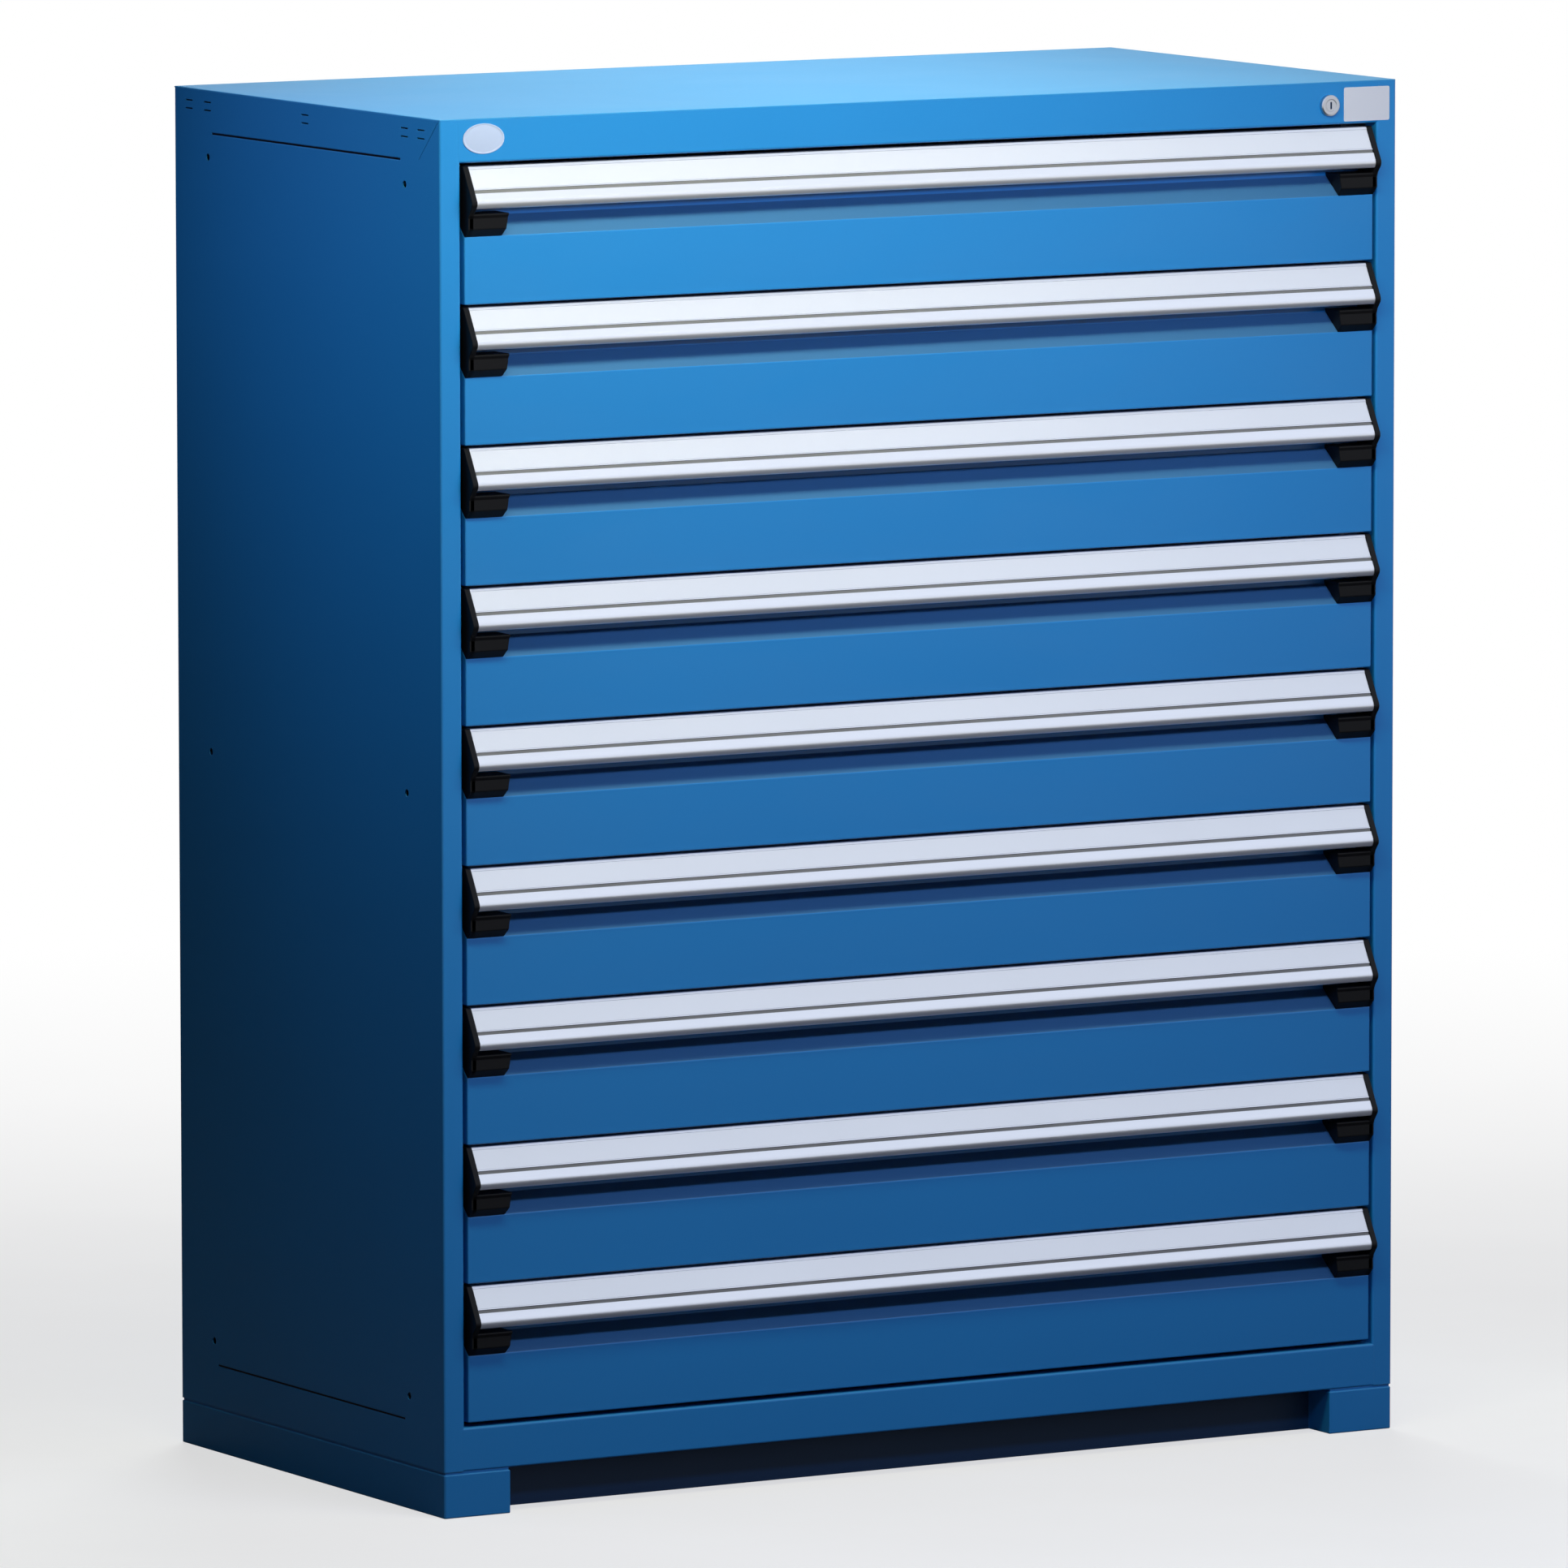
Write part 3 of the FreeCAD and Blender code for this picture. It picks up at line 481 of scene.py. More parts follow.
# The first two colours here are painted light on faces that look up: lighter and greener on the housing's top,
# darker and greyer in the recess ramps.
TOP_PAINTED_LIGHT_BLUE, RECESS_PAINTED_SHADE_BLUE, TOE_SHADE_BLUE = (0.03, 0.28, 0.57), (0.06, 0.205, 0.42), (0.004, 0.028, 0.075)
GREY, GREY_THIN_COAT_AND_HIGHLIGHT = (0.56, 0.58, 0.60), (0.68, 0.70, 0.72)
fold = 0.8 * MM
housing_paint = powder_coat("Blue powder coat, housing", BLUE, BLUE_THIN_COAT_AND_HIGHLIGHT, 0.42, fold, upward_painted_shading=TOP_PAINTED_LIGHT_BLUE)
front_paint = powder_coat("Blue powder coat, drawer fronts", BLUE, BLUE_THIN_COAT_AND_HIGHLIGHT, 0.40, upward_painted_shading=RECESS_PAINTED_SHADE_BLUE)
# Painted shade: a dark coat for the strips in the toe recess.
toe_shade_paint = powder_coat("Dark powder coat, painted toe shade", TOE_SHADE_BLUE, TOE_SHADE_BLUE, 0.50, specular=0.4)
tray_paint = powder_coat("Grey powder coat, trays", GREY, GREY_THIN_COAT_AND_HIGHLIGHT, 0.45, fold, 0.4)

# %% [markdown]
# ## Metals and plastic
# The handles are aluminium extrusions, satin anodised, with fine lines from the die along their length. The
# slides and the lock bar are zinc plated, a soft grey metal with cloudy patches. The lock's face is nickel.
# The end caps are moulded in black plastic with a fine spark-eroded grain.

# %% Metals and plastic
def anodised(name, colour):
    """Satin aluminium; the last quarter is diffuse, so that it takes the tone of the lamps."""
    material, tree, shader = start_material(name)
    shader.inputs["Metallic"].default_value = 0.75
    drift = place_group(tree, "drift", color=(*colour, 1), amount=0.05, scale=2.0)
    tree.links.new(drift.outputs["Color"], shader.inputs["Base Color"])
    lines = place_group(tree, "lines", scale=900.0)
    tree.links.new(lines.outputs["Roughness"], shader.inputs["Roughness"])
    bump(tree, shader, lines.outputs["Height"], 0.01 * MM, 0.8)
    return material


def plain(name, colour, tone, gloss, grain, corner=None, metallic=0.0, specular=0.5):
    """One colour with a drift of tone as (amount, scale), under smears and a skin."""
    material, tree, shader = start_material(name)
    shader.inputs["Metallic"].default_value = metallic
    shader.inputs["Specular IOR Level"].default_value = specular
    drift = place_group(tree, "drift", color=(*colour, 1), amount=tone[0], scale=tone[1])
    tree.links.new(drift.outputs["Color"], shader.inputs["Base Color"])
    glaze(tree, shader, gloss, grain, corner)
    return material


def zinc_plated(name, colour):
    """Zinc plate in clear cloudy patches, with soft folds."""
    return plain(name, colour, (0.25, 26.0), (0.42, 0.2), (260.0, 0.015 * MM), 0.5 * MM, metallic=1.0)


def moulded(name, colour):
    """Moulded plastic with a spark-eroded grain."""
    return plain(name, colour, (0.3, 20.0), (0.5, 0.15), (1100.0, 0.05 * MM), specular=0.18)


aluminium = anodised("Satin anodised aluminium", (0.83, 0.85, 0.90))
zinc = zinc_plated("Zinc plate, rails", (0.62, 0.63, 0.65))
carriage_zinc = zinc_plated("Zinc plate, carriages", (0.52, 0.53, 0.56))
lock_nickel = plain(
    "Satin nickel", (0.56, 0.57, 0.60), (0.12, 60.0), (0.30, 0.15), (1400.0, 0.005 * MM), metallic=1.0
)
black_plastic = moulded("Black moulded plastic", (0.0048, 0.0048, 0.0054))
# Painted shade: a dark grey bead that darkens the groove under the label.
groove_shade_plastic = moulded("Grey bead, painted groove shade", (0.20, 0.205, 0.21))

# %% [markdown]
# ## Labels, plate and badge
# The handles hold long paper labels under a thin clear cover, and the header has a blank plate and a blank
# badge. Paper is never quite even: a little fibre shows in the tone, and the cover adds a soft second
# highlight. The badge's pale enamel is made in the same way, with hardly any fibre.

# %% Paper under a cover
def covered_paper(name, colour, fibre, gleam=0.0):
    """Paper under a film; gleam is how much of the bright metal behind a thin label shows through."""
    material, tree, shader = start_material(name)
    shader.inputs["Metallic"].default_value = gleam
    stretch = add(tree, "ShaderNodeMapping", {"Vector": coordinates(tree), "Scale": (1.0, 6.0, 6.0)})
    noise = {"Vector": stretch.outputs["Vector"], "Scale": 400.0, "Detail": 4.0}
    strands = add(tree, "ShaderNodeTexNoise", noise).outputs["Fac"]
    drift = place_group(tree, "drift", color=(*colour, 1), amount=0.04, scale=5.0)
    share = maths(tree, "MULTIPLY", strands, fibre)
    tone = mix(tree, share, drift.outputs["Color"], (0.62, 0.62, 0.64, 1))
    tree.links.new(tone, shader.inputs["Base Color"])
    gloss = place_group(tree, "smears", roughness=0.5, spread=0.1)
    tree.links.new(gloss.outputs["Roughness"], shader.inputs["Roughness"])
    shader.inputs["Coat Weight"].default_value = 0.35
    shader.inputs["Coat Roughness"].default_value = 0.25
    bump(tree, shader, strands, 0.01 * MM)
    return material


label_paper = covered_paper("Label under a clear cover", (0.85, 0.875, 0.92), 0.10, 0.6)
plate_film = covered_paper("White plate", (0.68, 0.71, 0.80), 0.06)
badge_enamel = covered_paper("Pale enamel", (0.43, 0.52, 0.74), 0.03)

# %% [markdown]
# ## Finish the parts that keep their shape
# Parts whose shape in the frame is right only get a finish. It goes into the part's own material slot,
# because the frame's meshes stay as they are.

# %% Finishes on the frame's parts
def finish_nodes(material, *names):
    """Puts a material into every slot of the named parts."""
    for name in names:
        for place in frame["nodes"][name].material_slots:
            place.material = material


finish_nodes(
    housing_paint, "side_panel_left", "side_panel_right", "back_panel", "top_panel", "bottom_panel",
    "base_frame", "header_rail", "sill_rail",
)
finish_nodes(zinc, "uprights", "fixed_rails", "lock_bar", "lock_cam")
finish_nodes(lock_nickel, "lock_barrel", "lock_plug")
for n in drawers:
    finish_nodes(carriage_zinc, f"carriage_{n}")
    for part, finish in [
        ("tray", tray_paint), ("front", front_paint), ("handle", aluminium), ("end_caps", black_plastic)
    ]:
        finish_nodes(finish, f"drawer_{n}_{part}")

# %% [markdown]
# ## Header and sill
# The front frame is one skin: the rails above and below the drawers are welded between the stiles and ground
# flush. Each rail is a folded sheet whose face runs on to where the stile's own fold begins, so no seam
# shows.

# %% Header and sill skins
housing_sheet = 1.5 * MM
stile_width = 25.4 * MM
stile_fold = 2.7 * MM
frame_depth = 23.7 * MM
frame_lip = 8.0 * MM
sheet_edge, rear_fold, base_fold = 0.2 * MM, 2.0 * MM, 1.8 * MM
opening_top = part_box("header_rail")[0].z
opening_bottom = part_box("sill_rail")[1].z


def frame_rail(name, node, path):
    """A folded rail from stile to stile; the path is its outer side as (y, z, radius)."""
    reach = half_width - stile_width + stile_fold
    piece = make_mesh(name, [(bar(folded(path, housing_sheet, sheet_edge), -reach, reach), "caps")])
    return settle(piece, "cabinet", "housing_paint", housing_paint, node)


frame_rail("header_skin", "header_rail", [
    (front_y + frame_depth, opening_top + frame_lip, 0),
    (front_y + frame_depth, opening_top, rear_fold),
    (front_y, opening_top, stile_fold),
    (front_y, top_z - housing_sheet, sheet_edge),
    (front_y + frame_depth, top_z - housing_sheet, 0),
])
frame_rail("sill_skin", "sill_rail", [
    (front_y + frame_depth, base_z, 0),
    (front_y, base_z, base_fold),
    (front_y, opening_bottom, stile_fold),
    (front_y + frame_depth, opening_bottom, rear_fold),
    (front_y + frame_depth, opening_bottom - frame_lip, 0),
])
print(f"opening from z {opening_bottom:.4f} to {opening_top:.4f}")

# %% [markdown]
# ## Base
# The base is a folded channel that runs round four feet and two recessed plates. Its plan is an outline, and
# its section is another one, of (inset, height): every point of the section makes a ring that is the plan
# moved inwards by that inset. A small step along its upper edge makes the dark line under the housing. Dark
# strips on the recessed plates paint the shade of the toe recess. A dark bead on the floor of each pressed
# groove in the sides paints the shade of a slit.

# %% Base skin
foot_x = half_width - 82.0 * MM
plate_y = front_y + 45.0 * MM
step_depth, step_height = 1.5 * MM, 3.0 * MM


def mirrored_y(y):
    """The same distance from the back as y is from the front."""
    return front_y + back_y - y


def base_plan():
    """Corners of the base seen from above, with a bend radius on the four outer ones."""
    bend, inner = 3.0 * MM, 0.8 * MM
    rear_y = mirrored_y(plate_y)
    return [
        (-half_width, front_y, bend), (-foot_x, front_y, inner), (-foot_x, plate_y, inner),
        (foot_x, plate_y, inner), (foot_x, front_y, inner), (half_width, front_y, bend),
        (half_width, back_y, bend), (foot_x, back_y, inner), (foot_x, rear_y, inner),
        (-foot_x, rear_y, inner), (-foot_x, back_y, inner), (-half_width, back_y, bend),
    ]


def base_rings(height, flange, sheet):
    """Rings of the channel: outer wall with its step, upper and lower flange, all of one sheet."""
    inner = 0.4 * MM
    channel = [
        (0, 0, 1.5 * MM), (flange, 0, inner), (flange, sheet, inner), (sheet, sheet, inner),
        (sheet, height - sheet, inner), (flange, height - sheet, inner), (flange, height, inner),
        (step_depth, height, 0.1 * MM), (step_depth, height - step_height, 0.2 * MM),
        (0, height - step_height, 1.1 * MM),
    ]
    rings = []
    for inset, z in rounded(channel, steps=6):
        outline = rounded(base_plan(), inset)
        rings.append(np.column_stack([outline, np.full(len(outline), z)]))
    return np.array(rings)


base_skin = make_mesh("base_skin", [(base_rings(base_z, 25.0 * MM, 2.0 * MM), "loop")])
settle(base_skin, "cabinet", "base_paint", housing_paint, "base_frame")

# %% Painted shade: toe strips and groove beads
def block(a_pair, b_pair, radius):
    """Corners of a rectangle for a bar, anticlockwise, all with one radius."""
    (a, far_a), (b, far_b) = a_pair, b_pair
    return np.array([(a, b, radius), (far_a, b, radius), (far_a, far_b, radius), (a, far_b, radius)])


def toe_shade_strips():
    """A dark strip on each recessed plate, which paints the shade of the toe recess."""
    proud, sunk, gap = 0.8 * MM, 0.4 * MM, 0.2 * MM
    heights = gap, base_z - step_height - gap
    near = plate_y - proud, plate_y + sunk
    rear = mirrored_y(near[1]), mirrored_y(near[0])
    reach = foot_x - 0.1 * MM
    return [(bar(block(pair, heights, gap), -reach, reach), "caps") for pair in (near, rear)]


def groove_shade_beads():
    """Dark beads on the floors of the two pressed grooves in each side panel, painting the shade of a slit."""
    groove_depth, groove_gap = 0.8 * MM, 88.0 * MM
    half, height, sunk = 0.9 * MM, 0.25 * MM, 0.05 * MM
    floor_x = half_width - groove_depth
    shells = []
    for z in (opening_top, opening_bottom):
        outline = np.array([
            (floor_x - sunk, z - half, 0), (floor_x + height, z - half, 0.1 * MM),
            (floor_x + height, z + half, 0.1 * MM), (floor_x - sunk, z + half, 0),
        ])
        rings = bar(outline[::-1], front_y + groove_gap, back_y - groove_gap, along="y")
        shells += [(rings, "caps"), (rings * MIRROR, "caps")]
    return shells


# Painted shade: dark strips that darken the toe recess.
settle(make_mesh("toe_shade_strips", toe_shade_strips()), "cabinet", "base_paint", toe_shade_paint)
# Painted shade: black beads that darken the side grooves.
settle(make_mesh("groove_shade_beads", groove_shade_beads()), "cabinet", "housing_paint", black_plastic)

# %% [markdown]
# ## Drawer fronts
# A front is a shallow folded box. Its face is flush with the housing, a ramp runs back and up into the finger
# recess, and a plate behind the handle closes it. The section is one outline with a radius at every fold,
# carried across the cabinet, and its two ends are rounded like the folded sides of the real one. The sections
# of the drawer's pieces are written in millimetres, as (setback, drop, radius).

# %% Sections across a drawer
recess_depth, front_depth = 21.3, 22.5
recess_drop, ramp_drop, front_drop = 55.0, 76.5, 149.9
half_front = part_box("drawer_1_front")[1].x


def section(rows, number):
    """Rows of (setback, drop, radius) in millimetres as (y, z, radius) for one drawer, anticlockwise."""
    rows = np.array(rows, float) * MM
    return np.column_stack([front_y + rows[:, 0], drawer_top(number) - rows[:, 1], rows[:, 2]])


FRONT_BOX = [(0, front_drop, 1.4), (front_depth, front_drop, 1.3), (front_depth, recess_drop - 0.8, 0.7),
             (recess_depth, recess_drop, 0.3), (0, ramp_drop, 2.6)]
RECESS_PLATE = [(recess_depth, recess_drop + 2.0, 0.3), (front_depth, recess_drop + 2.0, 0.3),
                (front_depth, 1.0, 0.4), (recess_depth, 1.0, 0.4)]


def dress_front(number):
    """The folded box and the plate behind the handle, as one piece."""
    box_part = bar(section(FRONT_BOX, number), -half_front, half_front, 1.6 * MM)
    plate = bar(section(RECESS_PLATE, number), -half_front, half_front, 0.2 * MM)
    piece = make_mesh(f"front_skin_{number}", [(box_part, "caps"), (plate, "caps")])
    return settle(piece, f"drawer_{number}", "drawer_paint", front_paint, f"drawer_{number}_front")


for n in drawers:
    dress_front(n)
print(f"{len(drawers)} fronts, {2 * half_front / MM:.1f} mm wide")

# %% [markdown]
# ## Handles and labels
# The handle is an extrusion. From the screwed leg it comes forward over the recess, slopes down and out to a
# rounded nose, and ends in a rolled lip for the fingertips. The slope has a shallow pocket for the label,
# with a thin groove under it that holds a dark grey bead, which paints the groove's shade. Its section is a
# folded path, with the corners of pocket and groove added along the slope.

# %% Extruded handle
handle_wall = 2.4
slope = 0.565
slope_top = (4.1, 0.8)
slope_in = np.array([1.0, slope]) / math.hypot(1.0, slope)
lip_drop = 45.8
pocket, groove = (24.4, 3.6, 0.6), (28.8, 25.4, 1.4)
NOSE_CORNER = 2
cap_wall = 6.8 * MM
strip_gap = 0.6 * MM


def on_slope(drop, depth=0.0):
    """(setback, drop) of a point on the sloped face, or that depth inside it, in millimetres."""
    setback = slope_top[0] - slope * (drop - slope_top[1])
    return tuple(np.array([setback, drop]) + depth * slope_in)


def on_slope_rows(first, last, outer, inner, radii):
    """Four corners along the slope, from one drop to another, between an outer and an inner depth."""
    places = [(first, outer), (first, inner), (last, inner), (last, outer)]
    return [(*on_slope(drop, depth), radius) for (drop, depth), radius in zip(places, radii)]


def step_in(first, last, depth):
    """Corners of a channel let into the sloped face."""
    return on_slope_rows(first, last, 0.0, depth, [0.15] * 4)


HANDLE_PATH = [(-9.5, lip_drop, 0), (-14.0, lip_drop, 3.2), (*on_slope(39.2), 7.5), (*slope_top, 0.8),
               (recess_depth, slope_top[1], 0.8), (recess_depth, 30.0, 0)]
LABEL = on_slope_rows(24.1, 3.9, 0.55, 0.15, [0.05] * 4)
GROOVE_SHADE_BEAD = on_slope_rows(28.7, 25.5, 1.3, 0.75, [0.05, 0.3, 0.3, 0.05])


def handle_section():
    """The folded path's outline with the groove and the label pocket let into its slope."""
    flip = (1, -1, 1)
    outline = folded(np.array(HANDLE_PATH) * flip, handle_wall, 0.4)[::-1]
    cuts = np.array(step_in(*groove) + step_in(*pocket)) * flip
    outline = np.concatenate([outline[: NOSE_CORNER + 1], cuts, outline[NOSE_CORNER + 1 :]])[::-1]
    return outline * flip


def dress_handle(number):
    """The extrusion, and the label and the dark bead, painted groove shade, that it holds."""
    reach = half_front - cap_wall
    body = f"drawer_{number}"
    extrusion = bar(section(handle_section(), number), -reach, reach)
    piece = make_mesh(f"handle_skin_{number}", [(extrusion, "caps")])
    settle(piece, body, "handle_aluminium", aluminium, f"drawer_{number}_handle")
    reach -= strip_gap
    for name, outline, material in [("label_strip", LABEL, label_paper), ("label_groove_shade", GROOVE_SHADE_BEAD, groove_shade_plastic)]:
        rings = bar(section(outline[::-1], number), -reach, reach)
        settle(make_mesh(f"{name}_{number}", [(rings, "caps")]), body, "handle_aluminium", material)


for n in drawers:
    dress_handle(n)
print(f"{len(drawers)} handles and label strips, {2 * (half_front - cap_wall) / MM:.1f} mm long")

# %% [markdown]
# ## End caps
# A moulded cap closes each end of the handle. Its side wall stands a millimetre proud of the handle's
# outline, so that it frames the extrusion, and its block fills the recess below and takes knocks from the
# side.

# %% Moulded end caps
throat_drop = 51.0
cap_nose = (*on_slope(40.8, -1.0), 7.0)
CAP_TOP = [(recess_depth, 0.3, 1.0), (3.2, 0.3, 1.8), cap_nose]
CAP_FOOT = [(-11.0, throat_drop, 1.6), (-9.0, 56.0, 2.0), (-9.0, 68.0, 2.4), (-1.5, 75.5, 1.2),
            (0, ramp_drop, 1.0), (recess_depth, recess_drop, 1.2)]
block_width, block_slant, wall_side = 50.0 * MM, 4.0 * MM, 20 * MM


def dress_caps(number):
    """Side wall and block of both caps; the block's inner end slants inwards as it goes down."""
    wall = bar(section(CAP_TOP + CAP_FOOT, number), half_front - cap_wall, half_front, 0.8 * MM)
    corners = [(recess_depth, throat_drop, 1.2)] + CAP_FOOT
    block_part = bar(section(corners, number), half_front - block_width, half_front - 1 * MM, 0.8 * MM)
    throat_z = drawer_top(number) - throat_drop * MM
    inner_end = (half_front - wall_side - block_part[:, :, 0:1]) > 0
    fall = (throat_z - block_part[:, :, 2:3]) / ((ramp_drop - throat_drop) * MM)
    block_part[:, :, 0:1] += inner_end * block_slant * fall
    shells = [(rings * side, "caps") for side in (1, MIRROR) for rings in (wall, block_part)]
    piece = make_mesh(f"cap_skins_{number}", shells)
    return settle(piece, f"drawer_{number}", "cap_plastic", black_plastic, f"drawer_{number}_end_caps")


for n in drawers:
    dress_caps(n)
print(f"{2 * len(drawers)} end caps")

# %% [markdown]
# ## Slotted trays
# Behind its front each drawer is a plain tray of light grey sheet. Two rows of narrow slots in all four walls
# hold dividers. A wall is a grid of cells, and the slots are the cells that are left out, so a whole wall
# with its holes comes from a few index arrays. Channel rails are welded to the sides, and a small ear meets
# the lock.

# %% Pierced sheets
def pierced(u_cuts, v_cuts, w_pair):
    """A flat sheet with rectangular holes, as points (u, v, w) and quads; two cuts each way give a box.

    The cuts are the grid's lines. A cell with an odd number both ways is a hole, so holes lie between the
    second and third cut, the fourth and fifth, and so on. A quad joins both faces wherever solid meets empty.
    """
    points = np.stack(np.meshgrid(u_cuts, v_cuts, w_pair, indexing="ij"), -1).reshape(-1, 3)
    index = np.arange(len(points)).reshape(len(u_cuts), len(v_cuts), 2)
    cell_u, cell_v = np.ogrid[: len(u_cuts) - 1, : len(v_cuts) - 1]
    solid = np.pad((cell_u % 2 == 0) | (cell_v % 2 == 0), 1)
    flat = np.stack([index[:-1, :-1], index[1:, :-1], index[1:, 1:], index[:-1, 1:]], -1)[solid[1:-1, 1:-1]]
    along_v = np.concatenate([index[:, :-1], index[:, 1:, ::-1]], -1)[solid[:-1, 1:-1] != solid[1:, 1:-1]]
    along_u = np.concatenate([index[:-1], index[1:, :, ::-1]], -1)[solid[1:-1, :-1] != solid[1:-1, 1:]]
    return points, np.concatenate([flat[:, 0], flat[:, 1], along_v, along_u])


slot_pitch, slot_half, slot_margin = 25.4 * MM, 1.1 * MM, 30 * MM


def slot_cuts(low, high):
    """Grid lines from low to high with a slot at every pitch, centred between them."""
    middle = (low + high) / 2
    reach = math.floor(((high - low) / 2 - slot_margin) / slot_pitch)
    centres = middle + slot_pitch * np.arange(-reach, reach + 1)
    return np.concatenate([[low], (centres[:, None] + [-slot_half, slot_half]).ravel(), [high]])


# %% Trays
tray_sheet = 1.2 * MM
tray_x = half_width - 75.0 * MM
tray_near, tray_far = front_y + front_depth * MM, front_y + 575.0 * MM
rim = 9.0 * MM
floor_drop, lower_slots, upper_slots, rim_drop = 140.8, (135, 122), (50, 30), 12
wall_drops = np.array([floor_drop, *lower_slots, *upper_slots, rim_drop]) * MM
rail_near, rail_far = front_y + 30.0 * MM, front_y + 570.0 * MM
rail_width, rail_half, rail_sheet, rail_drop = 16.0 * MM, 19.0 * MM, 2.0 * MM, 100.0 * MM
EAR = [(32, 0), (32, 2), (2, 2), (2, 20), (0, 20), (0, 0)]
ear_near, ear_half, ear_drop = front_y + 31.5 * MM, 6.0 * MM, 62.0 * MM


def tray_walls(top):
    """Floor, four slotted walls and the two rims."""
    inner = tray_x - tray_sheet
    heights = top - wall_drops
    floor_z, rim_z = heights[0], heights[-1]
    shells = [pierced((-tray_x, tray_x), (tray_near, tray_far), (floor_z - tray_sheet, floor_z))]
    points, quads = pierced(slot_cuts(tray_near, tray_far), heights, (inner, tray_x))
    edge = pierced((tray_x, tray_x + rim), (tray_near, tray_far), (rim_z - tray_sheet, rim_z))
    for side in (MIRROR, 1):
        shells += [(points[:, [2, 0, 1]] * side, quads), (edge[0] * side, edge[1])]
    for near in (tray_near, tray_far - tray_sheet):
        points, quads = pierced(slot_cuts(-inner, inner), heights, (near, near + tray_sheet))
        shells.append((points[:, [0, 2, 1]], quads))
    return shells


def tray_fittings(top):
    """The two channel rails with their folded stops, and the ear on the right side."""
    z = top - rail_drop
    low, high, lip, bend = z - rail_half, z + rail_half, tray_x + rail_width, 2.6 * MM
    path = [(lip, low, 0), (tray_x, low, bend), (tray_x, high, bend), (lip, high, 0)]
    rail = bar(folded(path, rail_sheet, 0.3 * MM), rail_near, rail_far, along="y")
    stop = pierced((tray_x, lip), (rail_far - rail_sheet, rail_far), (low, high))
    shells = []
    for side in (MIRROR, 1):
        shells += [(rail * side, "caps"), (stop[0] * side, stop[1])]
    corners = np.column_stack([np.array(EAR, float) * MM + [tray_x, ear_near], np.full(len(EAR), 0.3 * MM)])
    ear_low = top - ear_drop - ear_half
    return shells + [(bar(corners[::-1], ear_low, ear_low + 2 * ear_half, along="z"), "caps")]


for n in drawers:
    tray = make_mesh(f"tray_skin_{n}", tray_walls(drawer_top(n)) + tray_fittings(drawer_top(n)))
    settle(tray, f"drawer_{n}", "tray_paint", tray_paint, f"drawer_{n}_tray")
print(f"{len(drawers)} trays, each of {len(tray.data.polygons)} faces")

# %% [markdown]
# ## Lock and plates
# The lock sits in the header. Its bezel is a turned ring, so it is a lathe: a closed profile of radius and
# setback goes round the lock's axis. The small badge is an oval enamelled dome with a rim, and the plate
# beside the lock is a thin card with round corners. Both stay blank.

# %% Turned and pressed pieces
lock_low, lock_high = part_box("lock_barrel")
lock_x, lock_z = (lock_low.x + lock_high.x) / 2, (lock_low.z + lock_high.z) / 2


def turned(profile, x, z, across=1.0, tall=1.0, steps=96):
    """Rings of a profile turned about a line along Y; profile points are (radius, y).

    Ring k is the profile at the angle 2 pi k / steps, with the radius scaled by across in X and by tall in Z.
    """
    angle = 2 * np.pi * np.arange(steps) / steps
    radius, y = profile[:, 0][None], profile[:, 1][None]
    return np.stack([
        x + across * radius * np.cos(angle)[:, None],
        np.broadcast_to(y, (steps, len(profile))),
        z + tall * radius * np.sin(angle)[:, None],
    ], -1)


def in_millimetres(rows):
    """Rows that are written in millimetres, as an array in metres."""
    return np.array(rows, float) * MM


BEZEL = [(6.55, -5.5, 0.1), (7.1, -6, 0.2), (10.5, -6, 0.35), (11.75, -4.8, 0.4), (11.75, 0, 0.1),
         (9.5, 0, 0.05), (9.5, 18, 0.2), (6.55, 18, 0.1)]
bezel_profile = rounded(in_millimetres(BEZEL), steps=3) + [0, front_y]
bezel = make_mesh("lock_bezel_skin", [(turned(bezel_profile, lock_x, lock_z), "loop")])
settle(bezel, "cabinet", "lock_metal", lock_nickel, "lock_barrel")

# %% Blank badge and blank plate
badge_x, badge_z = -half_width + 54 * MM, 1502 * MM
plate_x, plate_z = half_width - 39 * MM, 1498 * MM
badge_tall, badge_across = 16.5, 51 / 33
dome_inset, dome_edge, dome_rise = 1.5, 0.6, 0.8
BADGE_RIM = [(0.2, 0), (0, -0.2), (0, -0.7), (0.2, -0.95), (0.7, -1.05), (1.2, -0.9), (1.4, -0.65)]
PLATE = [(-30, -19, 2), (30, -19, 2), (30, 19, 2), (-30, 19, 2)]
plate_thickness, plate_edge = 0.3 * MM, 0.08 * MM


def enamel_dome():
    """Profile (radius, y) of the badge: a rim, a step down and a dome that rises by a parabola to the middle.

    The rim's rows are (inset, y).
    """
    inwards = np.linspace(0, 0.98, 14)
    rim = np.array(BADGE_RIM) * [-1, 1] + [badge_tall, 0]
    radius = (badge_tall - dome_inset) * (1 - inwards)
    dome = np.column_stack([radius, -dome_edge - dome_rise * (1 - (1 - inwards) ** 2)])
    return in_millimetres(np.concatenate([rim, dome])) + [0, front_y]


badge_rings = turned(enamel_dome(), badge_x, badge_z, badge_across).swapaxes(0, 1)
badge = make_mesh("blank_badge", [(badge_rings, "caps")])
settle(badge, "cabinet", "handle_aluminium", badge_enamel)

plate_outline = in_millimetres(PLATE) + [plate_x, plate_z, 0]
plate_rings = bar(plate_outline, front_y - plate_thickness, front_y, plate_edge, "y")
plate = make_mesh("blank_plate", [(plate_rings, "caps")])
settle(plate, "cabinet", "handle_aluminium", plate_film)
print(f"lock at x {lock_x:.4f}, z {lock_z:.4f}")
print(f"badge {2 * badge_tall * badge_across:.0f} x {2 * badge_tall:.0f} mm")

